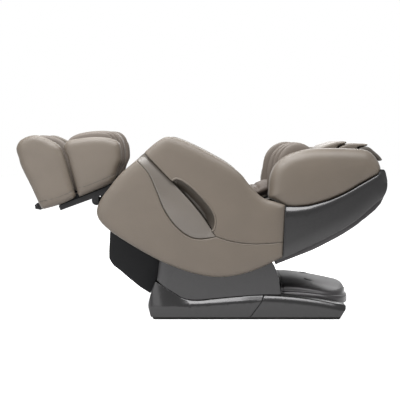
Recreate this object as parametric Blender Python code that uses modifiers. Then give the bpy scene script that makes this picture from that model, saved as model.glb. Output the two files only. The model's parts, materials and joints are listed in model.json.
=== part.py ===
"""A reclining massage chair, modelled at its real size in metres with +Z up.

The chair is at rest in its fully reclined position: the foot end points to -X, the head end
to +X. The origin is on the floor, under the middle of the chair. Outlines are side views,
given as (x, z) points of a smooth closed curve.
"""

import math

import bmesh
import bpy
from mathutils import Matrix, Vector

# ---------------------------------------------------------------- driving dimensions
# Joint axes, all parallel to Y, as (x, z)
TILT_AXIS = (-0.048, 0.328)
RECLINE_AXIS = (0.121, 0.570)
LEG_AXIS = (-0.364, 0.674)
LEG_FALL = math.radians(20.8)  # how far the leg rest points below the horizontal
BACK_RISE = math.radians(21.5)  # how far the back points above the horizontal

GAP = 0.0004  # left between pieces that touch
SEAM = 0.0008  # half of an upholstered panel's seam

# Layers across the chair, as distances from the middle plane
ARM_OUT, ARM_SKIN_IN = 0.388, 0.3635
ARM_BOX_OUT, ARM_BOX_IN = 0.3630, 0.286
LEG_OUT, LEG_POD_IN = 0.278, 0.236
POD_OUT, POD_IN = 0.358, 0.246
SIDE_COVER_OUT = 0.3625
SEAT_HALF = 0.288
COLUMN_OUT, COLUMN_IN = 0.3335, 0.292
SKID_OUT, SKID_IN = 0.352, 0.262
UPRIGHT_OUT, UPRIGHT_IN = 0.282, 0.268
LUG_OUT, LUG_IN = 0.258, 0.244

SHAFT_R = 0.012
BORE_CLEARANCE = 0.0006

# Linear actuators: where each is anchored, where it pushes at rest, and its line's angle
TILT_ANCHOR, TILT_PUSH = (0.520, 0.100), (-0.108, 0.169)
RECLINE_ANCHOR, RECLINE_PUSH = (0.078, 0.282), (0.2046, 0.4704)
LIFT_ANCHOR, LIFT_PUSH = (-0.200, 0.420), (-0.442, 0.629)
PIN_R = 0.006
EYE_BORE_R = 0.0135  # the eyes are loose on their pins, because each actuator keeps one angle
EYE_R = 0.0195

# ---------------------------------------------------------------- scene and materials
for old in list(bpy.data.objects):
    bpy.data.objects.remove(old, do_unlink=True)

PARTS = bpy.data.collections.new("massage_chair")
CUTTERS = bpy.data.collections.new("cutters")
bpy.context.scene.collection.children.link(PARTS)
bpy.context.scene.collection.children.link(CUTTERS)


def finish(name, colour, roughness, metallic=0.0):
    """A plain Principled material."""
    made = bpy.data.materials.new(name)
    made.use_nodes = True
    shader = made.node_tree.nodes["Principled BSDF"]
    shader.inputs["Base Color"].default_value = (*colour, 1.0)
    shader.inputs["Roughness"].default_value = roughness
    shader.inputs["Metallic"].default_value = metallic
    return made


LEATHER = finish("taupe_leather", (0.22, 0.18, 0.15), 0.45)
RIB_LEATHER = finish("ribbed_leather", (0.20, 0.16, 0.13), 0.5)
PAD_FABRIC = finish("pad_leather", (0.12, 0.09, 0.07), 0.6)
SILVER = finish("dark_silver", (0.12, 0.12, 0.13), 0.3, 0.7)
SHELL = finish("rear_shell_grey", (0.13, 0.12, 0.11), 0.45, 0.3)
BLACK = finish("black_plastic", (0.01, 0.01, 0.012), 0.5)
STEEL = finish("painted_steel", (0.03, 0.03, 0.03), 0.4, 0.6)
BRIGHT = finish("bright_steel", (0.6, 0.6, 0.6), 0.3, 1.0)
RUBBER = finish("rubber", (0.015, 0.015, 0.015), 0.8)


def axis_empty(name, x, z, parent=None):
    """An empty on a joint's axis, which the pieces of one moving body hang from."""
    empty = bpy.data.objects.new(name, None)
    PARTS.objects.link(empty)
    empty.parent = parent
    before = parent.matrix_world.translation if parent else Vector((0, 0, 0))
    empty.location = Vector((x, 0, z)) - before
    bpy.context.view_layer.update()
    return empty


CHAIR = axis_empty("base_origin", 0, 0)
SEAT = axis_empty("seat_tilt_axis", *TILT_AXIS, CHAIR)
BACK = axis_empty("back_recline_axis", *RECLINE_AXIS, SEAT)
LEG = axis_empty("leg_lift_axis", *LEG_AXIS, SEAT)
FOOT = axis_empty("foot_slide", *LEG_AXIS, LEG)


# ---------------------------------------------------------------- shape helpers
def smooth_closed(knots, corners=(), steps=3):
    """Points of a smooth closed curve through the knots. A knot in corners stays sharp."""
    knots = [Vector(k) for k in knots]
    count = len(knots)
    points = []
    for i in range(count):
        a, b = knots[i], knots[(i + 1) % count]
        before, after = knots[i - 1], knots[(i + 2) % count]
        length = (b - a).length
        leave = (b - before).normalized() * length
        arrive = (after - a).normalized() * length
        if i in corners:
            leave = b - a
        if (i + 1) % count in corners:
            arrive = b - a
        for k in range(steps):
            t = k / steps
            points.append(
                (2 * t**3 - 3 * t**2 + 1) * a
                + (t**3 - 2 * t**2 + t) * leave
                + (3 * t**2 - 2 * t**3) * b
                + (t**3 - t**2) * arrive
            )
        if steps > 1 and i in corners and (i + 1) % count in corners:
            del points[1 - steps :]
    return points


def box_outline(low, high):
    return [Vector(p) for p in (low, (high[0], low[1]), high, (low[0], high[1]))]


def leg_points(points):
    """Side-view points given along the leg rest (outwards) and up from it."""
    out = Vector((-math.cos(LEG_FALL), -math.sin(LEG_FALL)))
    up = Vector((-math.sin(LEG_FALL), math.cos(LEG_FALL)))
    return [Vector(LEG_AXIS) + out * p[0] + up * p[1] for p in points]


def back_points(points):
    """Side-view points given along the backrest (to the head) and up from it."""
    out = Vector((math.cos(BACK_RISE), math.sin(BACK_RISE)))
    up = Vector((-math.sin(BACK_RISE), math.cos(BACK_RISE)))
    return [Vector(RECLINE_AXIS) + out * p[0] + up * p[1] for p in points]


def new_object(name, bm, material, body, collection=PARTS):
    """Puts a bmesh in world coordinates on a body, with its normals facing out."""
    bmesh.ops.recalc_face_normals(bm, faces=bm.faces)
    mesh = bpy.data.meshes.new(name)
    bm.to_mesh(mesh)
    bm.free()
    if body is not None:
        mesh.transform(Matrix.Translation(-body.matrix_world.translation))
    made = bpy.data.objects.new(name, mesh)
    made.parent = body
    collection.objects.link(made)
    if material:
        mesh.materials.append(material)
        mesh.shade_smooth()
        mesh.set_sharp_from_angle(angle=math.radians(40))
    return made


def ring_mesh(rings):
    """A closed bmesh from rings with the same number of points, capped at both ends."""
    bm = bmesh.new()
    rows = [[bm.verts.new(p) for p in ring] for ring in rings]
    count = len(rows[0])
    for low, high in zip(rows, rows[1:]):
        for i in range(count):
            j = (i + 1) % count
            bm.faces.new((low[i], low[j], high[j], high[i]))
    bm.faces.new(rows[0])
    bm.faces.new(rows[-1])
    return bm


def add_bevel(obj, width, segments=1, degrees=40):
    bevel = obj.modifiers.new("edges", "BEVEL")
    bevel.width = width
    bevel.segments = segments
    bevel.limit_method = "ANGLE"
    bevel.angle_limit = math.radians(degrees)
    return obj


def slab(name, points, y0, y1, material, body, edge=0.0, segments=1):
    """A flat outline given thickness from y0 to y1."""
    bm = ring_mesh([[(p[0], y, p[1]) for p in points] for y in (y0, y1)])
    made = new_object(name, bm, material, body)
    if edge:
        add_bevel(made, edge, segments)
    return made


def inset(points, distance):
    """The outline moved inwards along its own normals."""
    area = sum(a[0] * b[1] - b[0] * a[1] for a, b in zip(points, points[1:] + points[:1]))
    turn = 1 if area > 0 else -1
    moved = []
    for i, p in enumerate(points):
        run = points[(i + 1) % len(points)] - points[i - 1]
        normal = Vector((-run[1], run[0])).normalized() * turn
        moved.append(p + normal * distance)
    return moved


def shrunk(points, share):
    middle = sum(points, Vector((0, 0))) / len(points)
    return [middle + (p - middle) * share for p in points]


def domed(name, points, y_in, y_out, rim, crown, material, body, side, arcs=3):
    """A panel whose outer edge is rounded and whose outer face swells by crown."""
    rings = [(points, y_in), (points, y_out - rim - crown)]
    for k in range(1, arcs + 1):
        angle = math.pi / 2 * k / arcs
        rings.append(
            (
                inset(points, rim * (1 - math.cos(angle))),
                y_out - crown - rim * (1 - math.sin(angle)),
            )
        )
    if crown:
        face = inset(points, rim)
        for share in (0.75, 0.3):
            rings.append((shrunk(face, share), y_out - crown * share**2))
    bm = ring_mesh([[(p[0], side * y, p[1]) for p in ring] for ring, y in rings])
    return new_object(name, bm, material, body)


def joined_mesh(obj, others, operation):
    """Applies Booleans between meshes at once and returns the first object."""
    for other in others:
        cut = obj.modifiers.new(operation.lower(), "BOOLEAN")
        cut.operation = operation
        cut.object = other
        cut.solver = "EXACT"
    bpy.context.view_layer.update()
    graph = bpy.context.evaluated_depsgraph_get()
    whole = bpy.data.meshes.new_from_object(obj.evaluated_get(graph))
    obj.modifiers.clear()
    obj.data = whole
    if operation == "UNION":
        for other in others:
            bpy.data.objects.remove(other, do_unlink=True)
    return obj


def cut(obj, *cutters):
    """Leaves a Boolean difference on the object for each cutter."""
    for cutter in cutters:
        modifier = obj.modifiers.new("cut_" + cutter.name, "BOOLEAN")
        modifier.operation = "DIFFERENCE"
        modifier.object = cutter
        modifier.solver = "EXACT"
    return obj


def cutter(name, points, y0, y1):
    made = slab(name, points, y0, y1, None, None)
    PARTS.objects.unlink(made)
    CUTTERS.objects.link(made)
    made.hide_render = True
    made.display_type = "WIRE"
    return made


def rod(name, x, z, y0, y1, radius, material, body, sides=24, edge=0.0):
    """A round bar across the chair."""
    bm = bmesh.new()
    bmesh.ops.create_cone(
        bm, cap_ends=True, segments=sides, radius1=radius, radius2=radius, depth=abs(y1 - y0)
    )
    bm.transform(
        Matrix.Translation((x, (y0 + y1) / 2, z)) @ Matrix.Rotation(math.pi / 2, 4, "X")
    )
    made = new_object(name, bm, material, body)
    if edge:
        add_bevel(made, edge, 2, 50)
    return made


def round_cutter(name, x, z, radius, y0, y1, sides=16):
    made = rod(name, x, z, y0, y1, radius, None, None, sides)
    PARTS.objects.unlink(made)
    CUTTERS.objects.link(made)
    made.hide_render = True
    made.display_type = "WIRE"
    return made


def cushion(name, line, thickness, y0, y1, material, body, channels=(), rib=0.0, sides=16,
            rise=0.35):
    """A stuffed pad: crowned on top, drawn in at its sides, sewn in across its channels.

    line is the pad's middle line in side view, as points; thickness is measured across it.
    channels are places along the line, from 0 to 1, where the top is drawn in by rib.
    """
    half, middle = abs(y1 - y0) / 2, (y0 + y1) / 2
    stations = sorted({0.0, 0.03, 0.1, 0.9, 0.97, 1.0}
                      | {0.1 + 0.8 * k / 6 for k in range(7)}
                      | {round(c + d, 4) for c in channels for d in (-0.022, 0, 0.022)})
    rings = []
    for s in stations:
        place, normal = along_line(line, s)
        end = 1 - abs(2 * s - 1)
        full = min(1.0, (1 - (1 - min(end / 0.16, 1)) ** 3)) * 0.82 + 0.18
        width = half * (0.93 + 0.07 * full - 0.02 * math.sin(math.pi * s))
        sewn = rib if any(abs(s - c) < 1e-3 for c in channels) else 0.0
        ring = []
        for k in range(sides):
            angle = 2 * math.pi * k / sides
            c, n = math.cos(angle), math.sin(angle)
            across = width * math.copysign(abs(c) ** 0.45, c)
            up = thickness / 2 * full * math.copysign(abs(n) ** 0.6, n)
            if n > 0:
                crown = 1 + rise * (1 - (across / half) ** 2)
                up = up * crown - sewn * min(1, abs(n) * 1.5)
            point = place + normal * up
            ring.append((point[0], middle + across, point[1]))
        rings.append(ring)
    return new_object(name, ring_mesh(rings), material, body)


def along_line(line, s):
    """The point a share s of the way along an open line, and its upward normal."""
    line = [Vector(p) for p in line]
    spans = [(b - a).length for a, b in zip(line, line[1:])]
    left = s * sum(spans)
    for i, span in enumerate(spans):
        if left <= span or i == len(spans) - 1:
            break
        left -= span
    t = left / spans[i]
    place = line[i].lerp(line[i + 1], t)
    tangents = [(line[min(k + 1, len(line) - 1)] - line[max(k - 1, 0)]).normalized()
                for k in range(len(line))]
    run = tangents[i].lerp(tangents[i + 1], t).normalized()
    normal = Vector((-run[1], run[0]))
    return place, normal if normal[1] > 0 else -normal


def actuator(name, anchor, push, tube_length, tube_r, rod_r, body, rod_body, rod_inside):
    """A linear drive: a hollow body with an eye at its anchor, and a rod with a loose eye."""
    start, end = Vector(anchor), Vector(push)
    run = (end - start).normalized()
    reach = (end - start).length

    def bar(label, a, b, radius, material, to, sides):
        bm = bmesh.new()
        bmesh.ops.create_cone(bm, cap_ends=True, segments=sides, radius1=radius,
                              radius2=radius, depth=(b - a))
        middle = start + run * (a + b) / 2
        turn = Vector((0, 0, 1)).rotation_difference(Vector((run[0], 0, run[1])))
        bm.transform(Matrix.Translation((middle[0], 0, middle[1])) @ turn.to_matrix().to_4x4())
        return new_object(label, bm, material, to)

    def helper(made):
        PARTS.objects.unlink(made)
        CUTTERS.objects.link(made)
        made.hide_render = True
        made.display_type = "WIRE"
        return made

    tube = bar(f"{name}_body", 0.006, tube_length, tube_r, BLACK, body, 16)
    joined_mesh(tube, [rod("eye", *anchor, -0.019, 0.019, EYE_R, BLACK, body, 16)], "UNION")
    bore = helper(bar(f"{name}_bore", rod_inside - 0.100, tube_length + 0.020,
                      rod_r + 0.001, None, None, 16))
    cut(tube, bore, round_cutter(f"{name}_anchor_bore", *anchor, PIN_R + BORE_CLEARANCE,
                                 -0.030, 0.030))
    slim = bar(f"{name}_rod", rod_inside, reach - 0.006, rod_r, BRIGHT, rod_body, 16)
    joined_mesh(slim, [rod("eye", *push, -0.009, 0.009, EYE_R, BRIGHT, rod_body, 16)], "UNION")
    cut(slim, round_cutter(f"{name}_push_bore", *push, EYE_BORE_R, -0.030, 0.030))
    return tube, slim


def strut(points, y0, y1, body):
    """One flat or boxed piece of a welded frame, before it is joined."""
    return slab("strut", [Vector(p) for p in points], y0, y1, STEEL, body)


def weld_frame(name, pieces, bores):
    """Joins a frame's struts into one body, and drills its round holes."""
    frame = pieces[0]
    frame.name = name
    joined_mesh(frame, pieces[1:], "UNION")
    for i, (x, z, radius, y0, y1) in enumerate(bores):
        cut(frame, round_cutter(f"{name}_bore_{i}", x, z, radius, y0, y1))
    return frame


# ---------------------------------------------------------------- base
SIDES = (("L", -1), ("R", 1))
SKID_FRONT = [
    (-0.222, 0.188), (-0.237, 0.149), (-0.248, 0.115), (-0.257, 0.069), (-0.252, 0.035),
    (-0.245, 0.012), (0.246, 0.012), (0.306, 0.094), (0.315, 0.121), (0.246, 0.118),
    (0.148, 0.110), (0.049, 0.101), (0.0, 0.096), (-0.049, 0.097), (-0.089, 0.107),
    (-0.123, 0.128), (-0.172, 0.158),
]
SKID_REAR = [
    (0.2475, 0.012), (0.697, 0.012), (0.712, 0.034), (0.724, 0.052), (0.722, 0.068),
    (0.666, 0.081), (0.592, 0.095), (0.493, 0.109), (0.394, 0.118), (0.3165, 0.1205),
    (0.3075, 0.094),
]
COLUMN = [
    (-0.214, 0.1885), (-0.208, 0.240), (-0.200, 0.300), (-0.165, 0.360), (-0.110, 0.405),
    (-0.048, 0.425), (0.020, 0.410), (0.100, 0.385), (0.200, 0.365), (0.280, 0.345),
    (0.340, 0.300), (0.366, 0.270), (0.380, 0.235), (0.392, 0.190), (0.402, 0.1190),
    (0.315, 0.1215), (0.246, 0.1185), (0.148, 0.1105), (0.049, 0.1015), (0.0, 0.0965),
    (-0.049, 0.0975), (-0.089, 0.1075), (-0.123, 0.1285), (-0.172, 0.1585),
]
FRAME_TUBE = (0.292, 0.322)  # the frame's long tubes, as distances from the middle
TUBE_TOP, TUBE_BOTTOM = 0.052, 0.014
FOOT_H = 0.0105


def build_base_frame():
    """The welded frame: two long tubes, two cross tubes and two uprights for the shaft."""
    pieces = []
    for _, side in SIDES:
        tube = box_outline((-0.180, TUBE_BOTTOM), (0.640, TUBE_TOP))
        pieces.append(strut(tube, side * FRAME_TUBE[0], side * FRAME_TUBE[1], CHAIR))
        upright = [(-0.090, 0.030), (0.120, 0.030), (0.020, 0.360), (-0.030, 0.385),
                   (-0.066, 0.385), (-0.090, 0.355)]
        pieces.append(strut(upright, side * UPRIGHT_IN, side * UPRIGHT_OUT, CHAIR))
        gusset = box_outline((-0.060, 0.030), (0.100, TUBE_TOP - 0.004))
        pieces.append(strut(gusset, side * (UPRIGHT_OUT - 0.005),
                            side * (FRAME_TUBE[0] + 0.005), CHAIR))
        lug = [(0.480, 0.030), (0.560, 0.030), (0.540, 0.118), (0.500, 0.118)]
        pieces.append(strut(lug, side * 0.0225, side * 0.0285, CHAIR))
    for x in (0.030, 0.560):
        bar = box_outline((x - 0.020, 0.018), (x + 0.020, 0.046))
        pieces.append(strut(bar, -FRAME_TUBE[0] - 0.008, FRAME_TUBE[0] + 0.008, CHAIR))
    pieces.append(strut(box_outline((0.470, 0.020), (0.575, 0.040)), -0.040, 0.040, CHAIR))
    pieces.append(rod("pin", *TILT_ANCHOR, -0.026, 0.026, PIN_R, STEEL, CHAIR, 10))
    return weld_frame(
        "base_frame", pieces, [(*TILT_AXIS, SHAFT_R + BORE_CLEARANCE, -0.3, 0.3)]
    )


base_frame = build_base_frame()
TILT_ROD = axis_empty("tilt_rod_slide", *TILT_ANCHOR, CHAIR)
actuator("tilt_actuator", TILT_ANCHOR, TILT_PUSH, 0.400, 0.022, 0.009, CHAIR, TILT_ROD, 0.250)
rod("tilt_shaft", *TILT_AXIS, -0.2885, 0.2885, SHAFT_R, BRIGHT, CHAIR, 16)

tube_slot = [
    cutter(f"tube_slot_{name}", box_outline((-0.190, -0.020), (0.650, TUBE_TOP + 0.004)),
           side * (FRAME_TUBE[0] - 0.004), side * (FRAME_TUBE[1] + 0.004))
    for name, side in SIDES
]
gusset_slot = cutter("gusset_slot", box_outline((-0.100, -0.020), (0.125, TUBE_TOP + 0.004)),
                     -0.310, 0.310)
upright_slot = cutter("upright_slot", box_outline((-0.100, 0.000), (0.125, 0.200)),
                      -UPRIGHT_OUT - 0.0015, UPRIGHT_OUT + 0.0015)
cross_slot = cutter("cross_slot", box_outline((0.530, -0.020), (0.590, TUBE_TOP + 0.004)),
                    -0.310, 0.310)
for (name, side), slot in zip(SIDES, tube_slot):
    front = domed(f"skid_front_{name}", smooth_closed(SKID_FRONT, (0, 5, 6, 7, 8), 1),
                  SKID_IN, SKID_OUT, 0.010, 0.0, SILVER, CHAIR, side, 2)
    cut(front, slot, gusset_slot, upright_slot)
    rear = domed(f"skid_rear_{name}", smooth_closed(SKID_REAR, (0, 1, 9, 10), 1),
                 SKID_IN, SKID_OUT, 0.010, 0.0, SILVER, CHAIR, side, 2)
    cut(rear, slot, cross_slot)
    domed(f"column_shroud_{name}", smooth_closed(COLUMN, (0, 14), 1),
          COLUMN_IN, COLUMN_OUT, 0.008, 0.004, SILVER, CHAIR, side, 2)
    strip = [(-0.228, 0.0), (0.690, 0.0), (0.6965, FOOT_H + 0.001), (-0.236, FOOT_H + 0.001)]
    slab(f"foot_strip_{name}", [Vector(p) for p in strip], side * 0.270, side * 0.346,
         RUBBER, CHAIR)


def build_rear_deck():
    """The low cover between the rear skids, with a rounded end seen from above."""
    rings = []
    for z_share, shrink in ((0.0, 1.0), (0.78, 1.0), (0.93, 0.985), (1.0, 0.955)):
        ring = []
        for k in range(17):
            angle = math.pi * (k / 16 - 0.5)
            across = 0.2600 * shrink * math.copysign(abs(math.sin(angle)) ** 0.75, angle)
            x = 0.600 + 0.172 * shrink * abs(math.cos(angle)) ** 0.75
            top = 0.182 - 0.055 * max(0.0, (x - 0.470) / 0.300) ** 1.3
            ring.append((x, across, 0.0545 + (top - 0.0545) * z_share))
        for across in (0.2600 * shrink, -0.2600 * shrink):
            ring.append((0.412, across, 0.0545 + (0.182 - 0.0545) * z_share))
        rings.append(ring)
    return new_object("rear_deck", ring_mesh(rings), SHELL, CHAIR)


rear_deck = build_rear_deck()
deck_hollow = cutter(
    "deck_hollow",
    [Vector(p) for p in [(0.300, -0.020), (0.700, -0.020), (0.700, 0.130), (0.480, 0.175),
                         (0.300, 0.175)]],
    -0.252, 0.252,
)
power_notch = cutter("power_notch", box_outline((0.690, 0.020), (0.830, 0.1085)), -0.0515, 0.0515)
cut(rear_deck, deck_hollow, power_notch)

POWER_BOX = ((0.712, 0.0585), (0.7640, 0.1075))
power_box = slab("power_box", box_outline(*POWER_BOX), -0.0505, 0.0505, BLACK, CHAIR)
cut(
    power_box,
    cutter("inlet_recess", box_outline((0.752, 0.073), (0.800, 0.093)), -0.036, -0.008),
    cutter("switch_recess", box_outline((0.750, 0.069), (0.800, 0.097)), 0.012, 0.032),
)
SWITCH_AXIS = (0.7605, 0.083)
SWITCH = axis_empty("power_switch_axis", *SWITCH_AXIS, CHAIR)
ROCKER = [(0.7575, 0.0715), (0.7615, 0.0715), (0.7665, 0.0750), (0.7640, 0.0830),
          (0.7665, 0.0910), (0.7615, 0.0945), (0.7575, 0.0945)]
slab("power_switch", [Vector(p) for p in ROCKER], 0.0135, 0.0305, RUBBER, SWITCH)

# ---------------------------------------------------------------- seat body
ARM = [
    (-0.159, 0.903), (-0.193, 0.889), (-0.241, 0.853), (-0.309, 0.790), (-0.387, 0.723),
    (-0.435, 0.664), (-0.484, 0.597), (-0.504, 0.538), (-0.485, 0.487), (-0.408, 0.421),
    (-0.243, 0.321), (-0.146, 0.274), (-0.049, 0.239), (0.025, 0.222), (0.098, 0.215),
    (0.195, 0.227), (0.293, 0.259), (0.404, 0.313), (0.410, 0.450), (0.416, 0.570),
    (0.363, 0.588), (0.325, 0.598), (0.291, 0.618), (0.242, 0.669), (0.198, 0.723),
    (0.145, 0.764), (0.048, 0.819), (-0.048, 0.867), (-0.120, 0.896),
]
LEAF = [
    (-0.309, 0.790), (-0.251, 0.727), (-0.213, 0.645), (-0.175, 0.548), (-0.117, 0.465),
    (-0.049, 0.414), (0.010, 0.404), (0.078, 0.417), (0.000, 0.531), (-0.116, 0.664),
    (-0.270, 0.824),
]
GRIP = [
    (-0.136, 0.694), (-0.118, 0.701), (-0.090, 0.694), (-0.045, 0.664), (0.000, 0.621),
    (0.040, 0.575), (0.068, 0.530), (0.076, 0.490), (0.066, 0.449), (0.050, 0.468),
    (0.000, 0.537), (-0.080, 0.632),
]
GRIP_HOLLOW = [
    (-0.118, 0.689), (-0.100, 0.689), (-0.074, 0.678), (-0.036, 0.648), (0.004, 0.608),
    (0.038, 0.566), (0.057, 0.528), (0.063, 0.492), (0.058, 0.466), (0.004, 0.546),
    (-0.060, 0.622),
]
ARM_BOX = [
    (-0.156, 0.895), (-0.193, 0.879), (-0.241, 0.842), (-0.309, 0.779), (-0.383, 0.712),
    (-0.420, 0.655), (-0.440, 0.600), (-0.420, 0.560), (-0.300, 0.500), (-0.150, 0.462),
    (0.000, 0.455), (0.120, 0.462), (0.195, 0.500), (0.215, 0.580), (0.205, 0.690),
    (0.192, 0.716), (0.142, 0.755), (0.048, 0.809), (-0.048, 0.858), (-0.120, 0.888),
]
POCKET_DEEP = 0.325



def build_seat_frame():
    """Two side rails under the cushion, cross tubes, lugs to the tilt shaft and crank plates."""
    pieces = []
    for _, side in SIDES:
        rail = [(-0.385, 0.655), (-0.365, 0.652), (0.098, 0.480), (0.140, 0.548), (0.140, 0.592),
                (0.105, 0.592), (0.094, 0.514), (-0.345, 0.690), (-0.385, 0.690)]
        lug = [(-0.072, 0.316), (-0.048, 0.300), (-0.024, 0.316), (0.040, 0.515), (-0.120, 0.575)]
        bracket = [(-0.300, 0.530), (0.030, 0.482), (0.030, 0.506), (-0.300, 0.654)]
        pieces.append(strut(rail, side * LUG_IN, side * LUG_OUT, SEAT))
        pieces.append(strut(lug, side * LUG_IN, side * LUG_OUT, SEAT))
        pieces.append(strut(bracket, side * (LUG_OUT - 0.004), side * (ARM_BOX_IN - GAP), SEAT))
        crank = [(-0.120, 0.157), (-0.096, 0.157), (-0.020, 0.310), (0.036, 0.532), (0.002, 0.532),
                 (-0.072, 0.340)]
        hanger = [(0.066, 0.272), (0.090, 0.272), (0.040, 0.512), (0.004, 0.512)]
        pieces.append(strut(crank, side * 0.022, side * 0.028, SEAT))
        pieces.append(strut(hanger, side * 0.024, side * 0.030, SEAT))
        front = [(-0.212, 0.408), (-0.188, 0.408), (-0.285, 0.655), (-0.310, 0.655)]
        pieces.append(strut(front, side * 0.022, side * 0.028, SEAT))
    for x, z in ((-0.300, 0.648), (0.020, 0.517)):
        bar = box_outline((x - 0.014, z - 0.011), (x + 0.014, z + 0.011))
        pieces.append(strut(bar, -LUG_IN - 0.004, LUG_IN + 0.004, SEAT))
    for at in (TILT_PUSH, RECLINE_ANCHOR, LIFT_ANCHOR):
        pieces.append(rod("pin", *at, -0.026, 0.026, PIN_R, STEEL, SEAT, 10))
    return weld_frame(
        "seat_frame", pieces,
        [(*axis, SHAFT_R + BORE_CLEARANCE, -0.27, 0.27)
         for axis in (TILT_AXIS, RECLINE_AXIS, LEG_AXIS)],
    )


build_seat_frame()
cushion("seat_cushion", [(-0.365, 0.7215), (-0.180, 0.650), (0.000, 0.580), (0.095, 0.5450)],
        0.042, -SEAT_HALF, SEAT_HALF, PAD_FABRIC, SEAT, (0.30, 0.55, 0.78), 0.010)
for name, side in SIDES:
    arm_line = smooth_closed(ARM, (17, 19), 1)
    skin = domed(f"arm_panel_{name}", arm_line, ARM_SKIN_IN, ARM_OUT, 0.014, 0.006, LEATHER,
                 SEAT, side, 2)
    grip_hole = cutter(f"grip_hole_{name}", inset(smooth_closed(GRIP, (), 2), -SEAM),
                       side * (POCKET_DEEP - 0.0015), side * 0.420)
    leaf_cut = cutter(f"leaf_cut_{name}", inset(smooth_closed(LEAF, (0, 7, 10), 2), -SEAM),
                      side * ARM_BOX_OUT, side * 0.420)
    cut(skin, leaf_cut, grip_hole)
    box = domed(f"arm_box_{name}", smooth_closed(ARM_BOX, (), 2), ARM_BOX_IN + 0.012,
                ARM_BOX_OUT, 0.004, 0.0, LEATHER, SEAT, side, 1)
    cut(box, grip_hole)
    leaf = inset(smooth_closed(LEAF, (0, 7, 10), 2), SEAM)
    domed(f"arm_insert_{name}", leaf, ARM_SKIN_IN, ARM_OUT - 0.003, 0.004, 0.003, LEATHER,
          SEAT, side, 1)
    grip = inset(smooth_closed(GRIP, (), 2), SEAM)
    pocket = slab(f"grip_pocket_{name}", grip, side * POCKET_DEEP, side * (ARM_OUT - 0.004),
                  PAD_FABRIC, SEAT)
    cut(pocket, cutter(f"grip_hollow_{name}", smooth_closed(GRIP_HOLLOW, (), 1),
                       side * (POCKET_DEEP + 0.004), side * 0.430))

RECLINE_ROD = axis_empty("recline_rod_slide", *RECLINE_ANCHOR, SEAT)
LIFT_ROD = axis_empty("lift_rod_slide", *LIFT_ANCHOR, SEAT)
actuator("recline_actuator", RECLINE_ANCHOR, RECLINE_PUSH, 0.180, 0.018, 0.008, SEAT,
         RECLINE_ROD, 0.100)
actuator("lift_actuator", LIFT_ANCHOR, LIFT_PUSH, 0.215, 0.018, 0.008, SEAT, LIFT_ROD, 0.120)
rod("recline_shaft", *RECLINE_AXIS, -0.262, 0.262, SHAFT_R, BRIGHT, SEAT, 16)
rod("leg_shaft", *LEG_AXIS, -0.262, 0.262, SHAFT_R, BRIGHT, SEAT, 16)

UNDERSEAT = [
    (-0.453, 0.430), (-0.456, 0.380), (-0.459, 0.330), (-0.459, 0.290), (-0.449, 0.270),
    (-0.434, 0.251), (-0.404, 0.228), (-0.354, 0.185), (-0.304, 0.144), (-0.253, 0.112),
    (-0.236, 0.130), (-0.217, 0.170), (-0.210, 0.231), (-0.205, 0.300), (-0.205, 0.395),
    (-0.226, 0.430),
]
underseat_line = smooth_closed(UNDERSEAT, (0, 9, 15), 1)
underseat = slab("underseat_cover", underseat_line, -0.238, 0.238, BLACK, SEAT)
cut(underseat, cutter("underseat_hollow",
                      [p if p[1] < 0.38 else Vector((p[0], 0.470))
                       for p in inset(underseat_line, 0.005)], -0.233, 0.233))

# ---------------------------------------------------------------- backrest
SIDE_COVER = [
    (0.300, 0.560), (0.419, 0.562), (0.488, 0.562), (0.537, 0.567), (0.585, 0.579),
    (0.634, 0.593), (0.682, 0.613), (0.731, 0.637), (0.779, 0.666), (0.827, 0.693),
    (0.868, 0.717), (0.879, 0.744), (0.899, 0.741), (0.910, 0.712), (0.917, 0.678),
    (0.914, 0.640), (0.897, 0.604), (0.877, 0.588), (0.829, 0.552), (0.781, 0.511),
    (0.733, 0.484), (0.684, 0.453), (0.587, 0.398), (0.490, 0.354), (0.412, 0.316),
    (0.350, 0.292), (0.310, 0.350), (0.290, 0.480),
]
REAR_SHELL = [
    (0.373, 0.276), (0.444, 0.305), (0.543, 0.350), (0.641, 0.402),
    (0.690, 0.432), (0.773, 0.474), (0.812, 0.502), (0.860, 0.543), (0.887, 0.575),
    (0.903, 0.610), (0.910, 0.650), (0.910, 0.700), (0.895, 0.738), (0.880, 0.736),
    (0.895, 0.700), (0.895, 0.652), (0.888, 0.616), (0.873, 0.585), (0.848, 0.555),
    (0.802, 0.516), (0.765, 0.489), (0.683, 0.447), (0.634, 0.417), (0.536, 0.365),
    (0.438, 0.320), (0.373, 0.292),
]
SHOULDER = [
    (0.341, 0.604), (0.341, 0.645), (0.345, 0.692), (0.355, 0.731), (0.374, 0.765),
    (0.403, 0.793), (0.437, 0.814), (0.476, 0.828), (0.524, 0.840), (0.582, 0.845),
    (0.704, 0.845), (0.806, 0.840), (0.835, 0.828), (0.855, 0.804), (0.872, 0.770),
    (0.876, 0.732), (0.862, 0.722), (0.827, 0.702), (0.779, 0.674), (0.731, 0.645),
    (0.682, 0.621), (0.634, 0.601), (0.585, 0.586), (0.536, 0.574), (0.488, 0.569),
    (0.439, 0.569), (0.405, 0.574), (0.366, 0.588),
]
WING = [
    (0.343, 0.640), (0.342, 0.700), (0.348, 0.760), (0.362, 0.808), (0.392, 0.844),
    (0.430, 0.866), (0.470, 0.874), (0.505, 0.871), (0.535, 0.857), (0.562, 0.830),
    (0.575, 0.790), (0.560, 0.740), (0.500, 0.680), (0.430, 0.632), (0.370, 0.615),
]
PILLOW = [
    (0.600, 0.800), (0.612, 0.842), (0.662, 0.868), (0.712, 0.8785), (0.747, 0.874),
    (0.742, 0.861), (0.705, 0.853), (0.762, 0.868), (0.855, 0.864), (0.850, 0.855),
    (0.806, 0.850), (0.860, 0.850), (0.884, 0.834), (0.932, 0.787), (0.914, 0.778),
    (0.895, 0.795), (0.872, 0.815), (0.835, 0.822), (0.800, 0.818), (0.700, 0.780),
    (0.640, 0.774),
]
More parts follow.
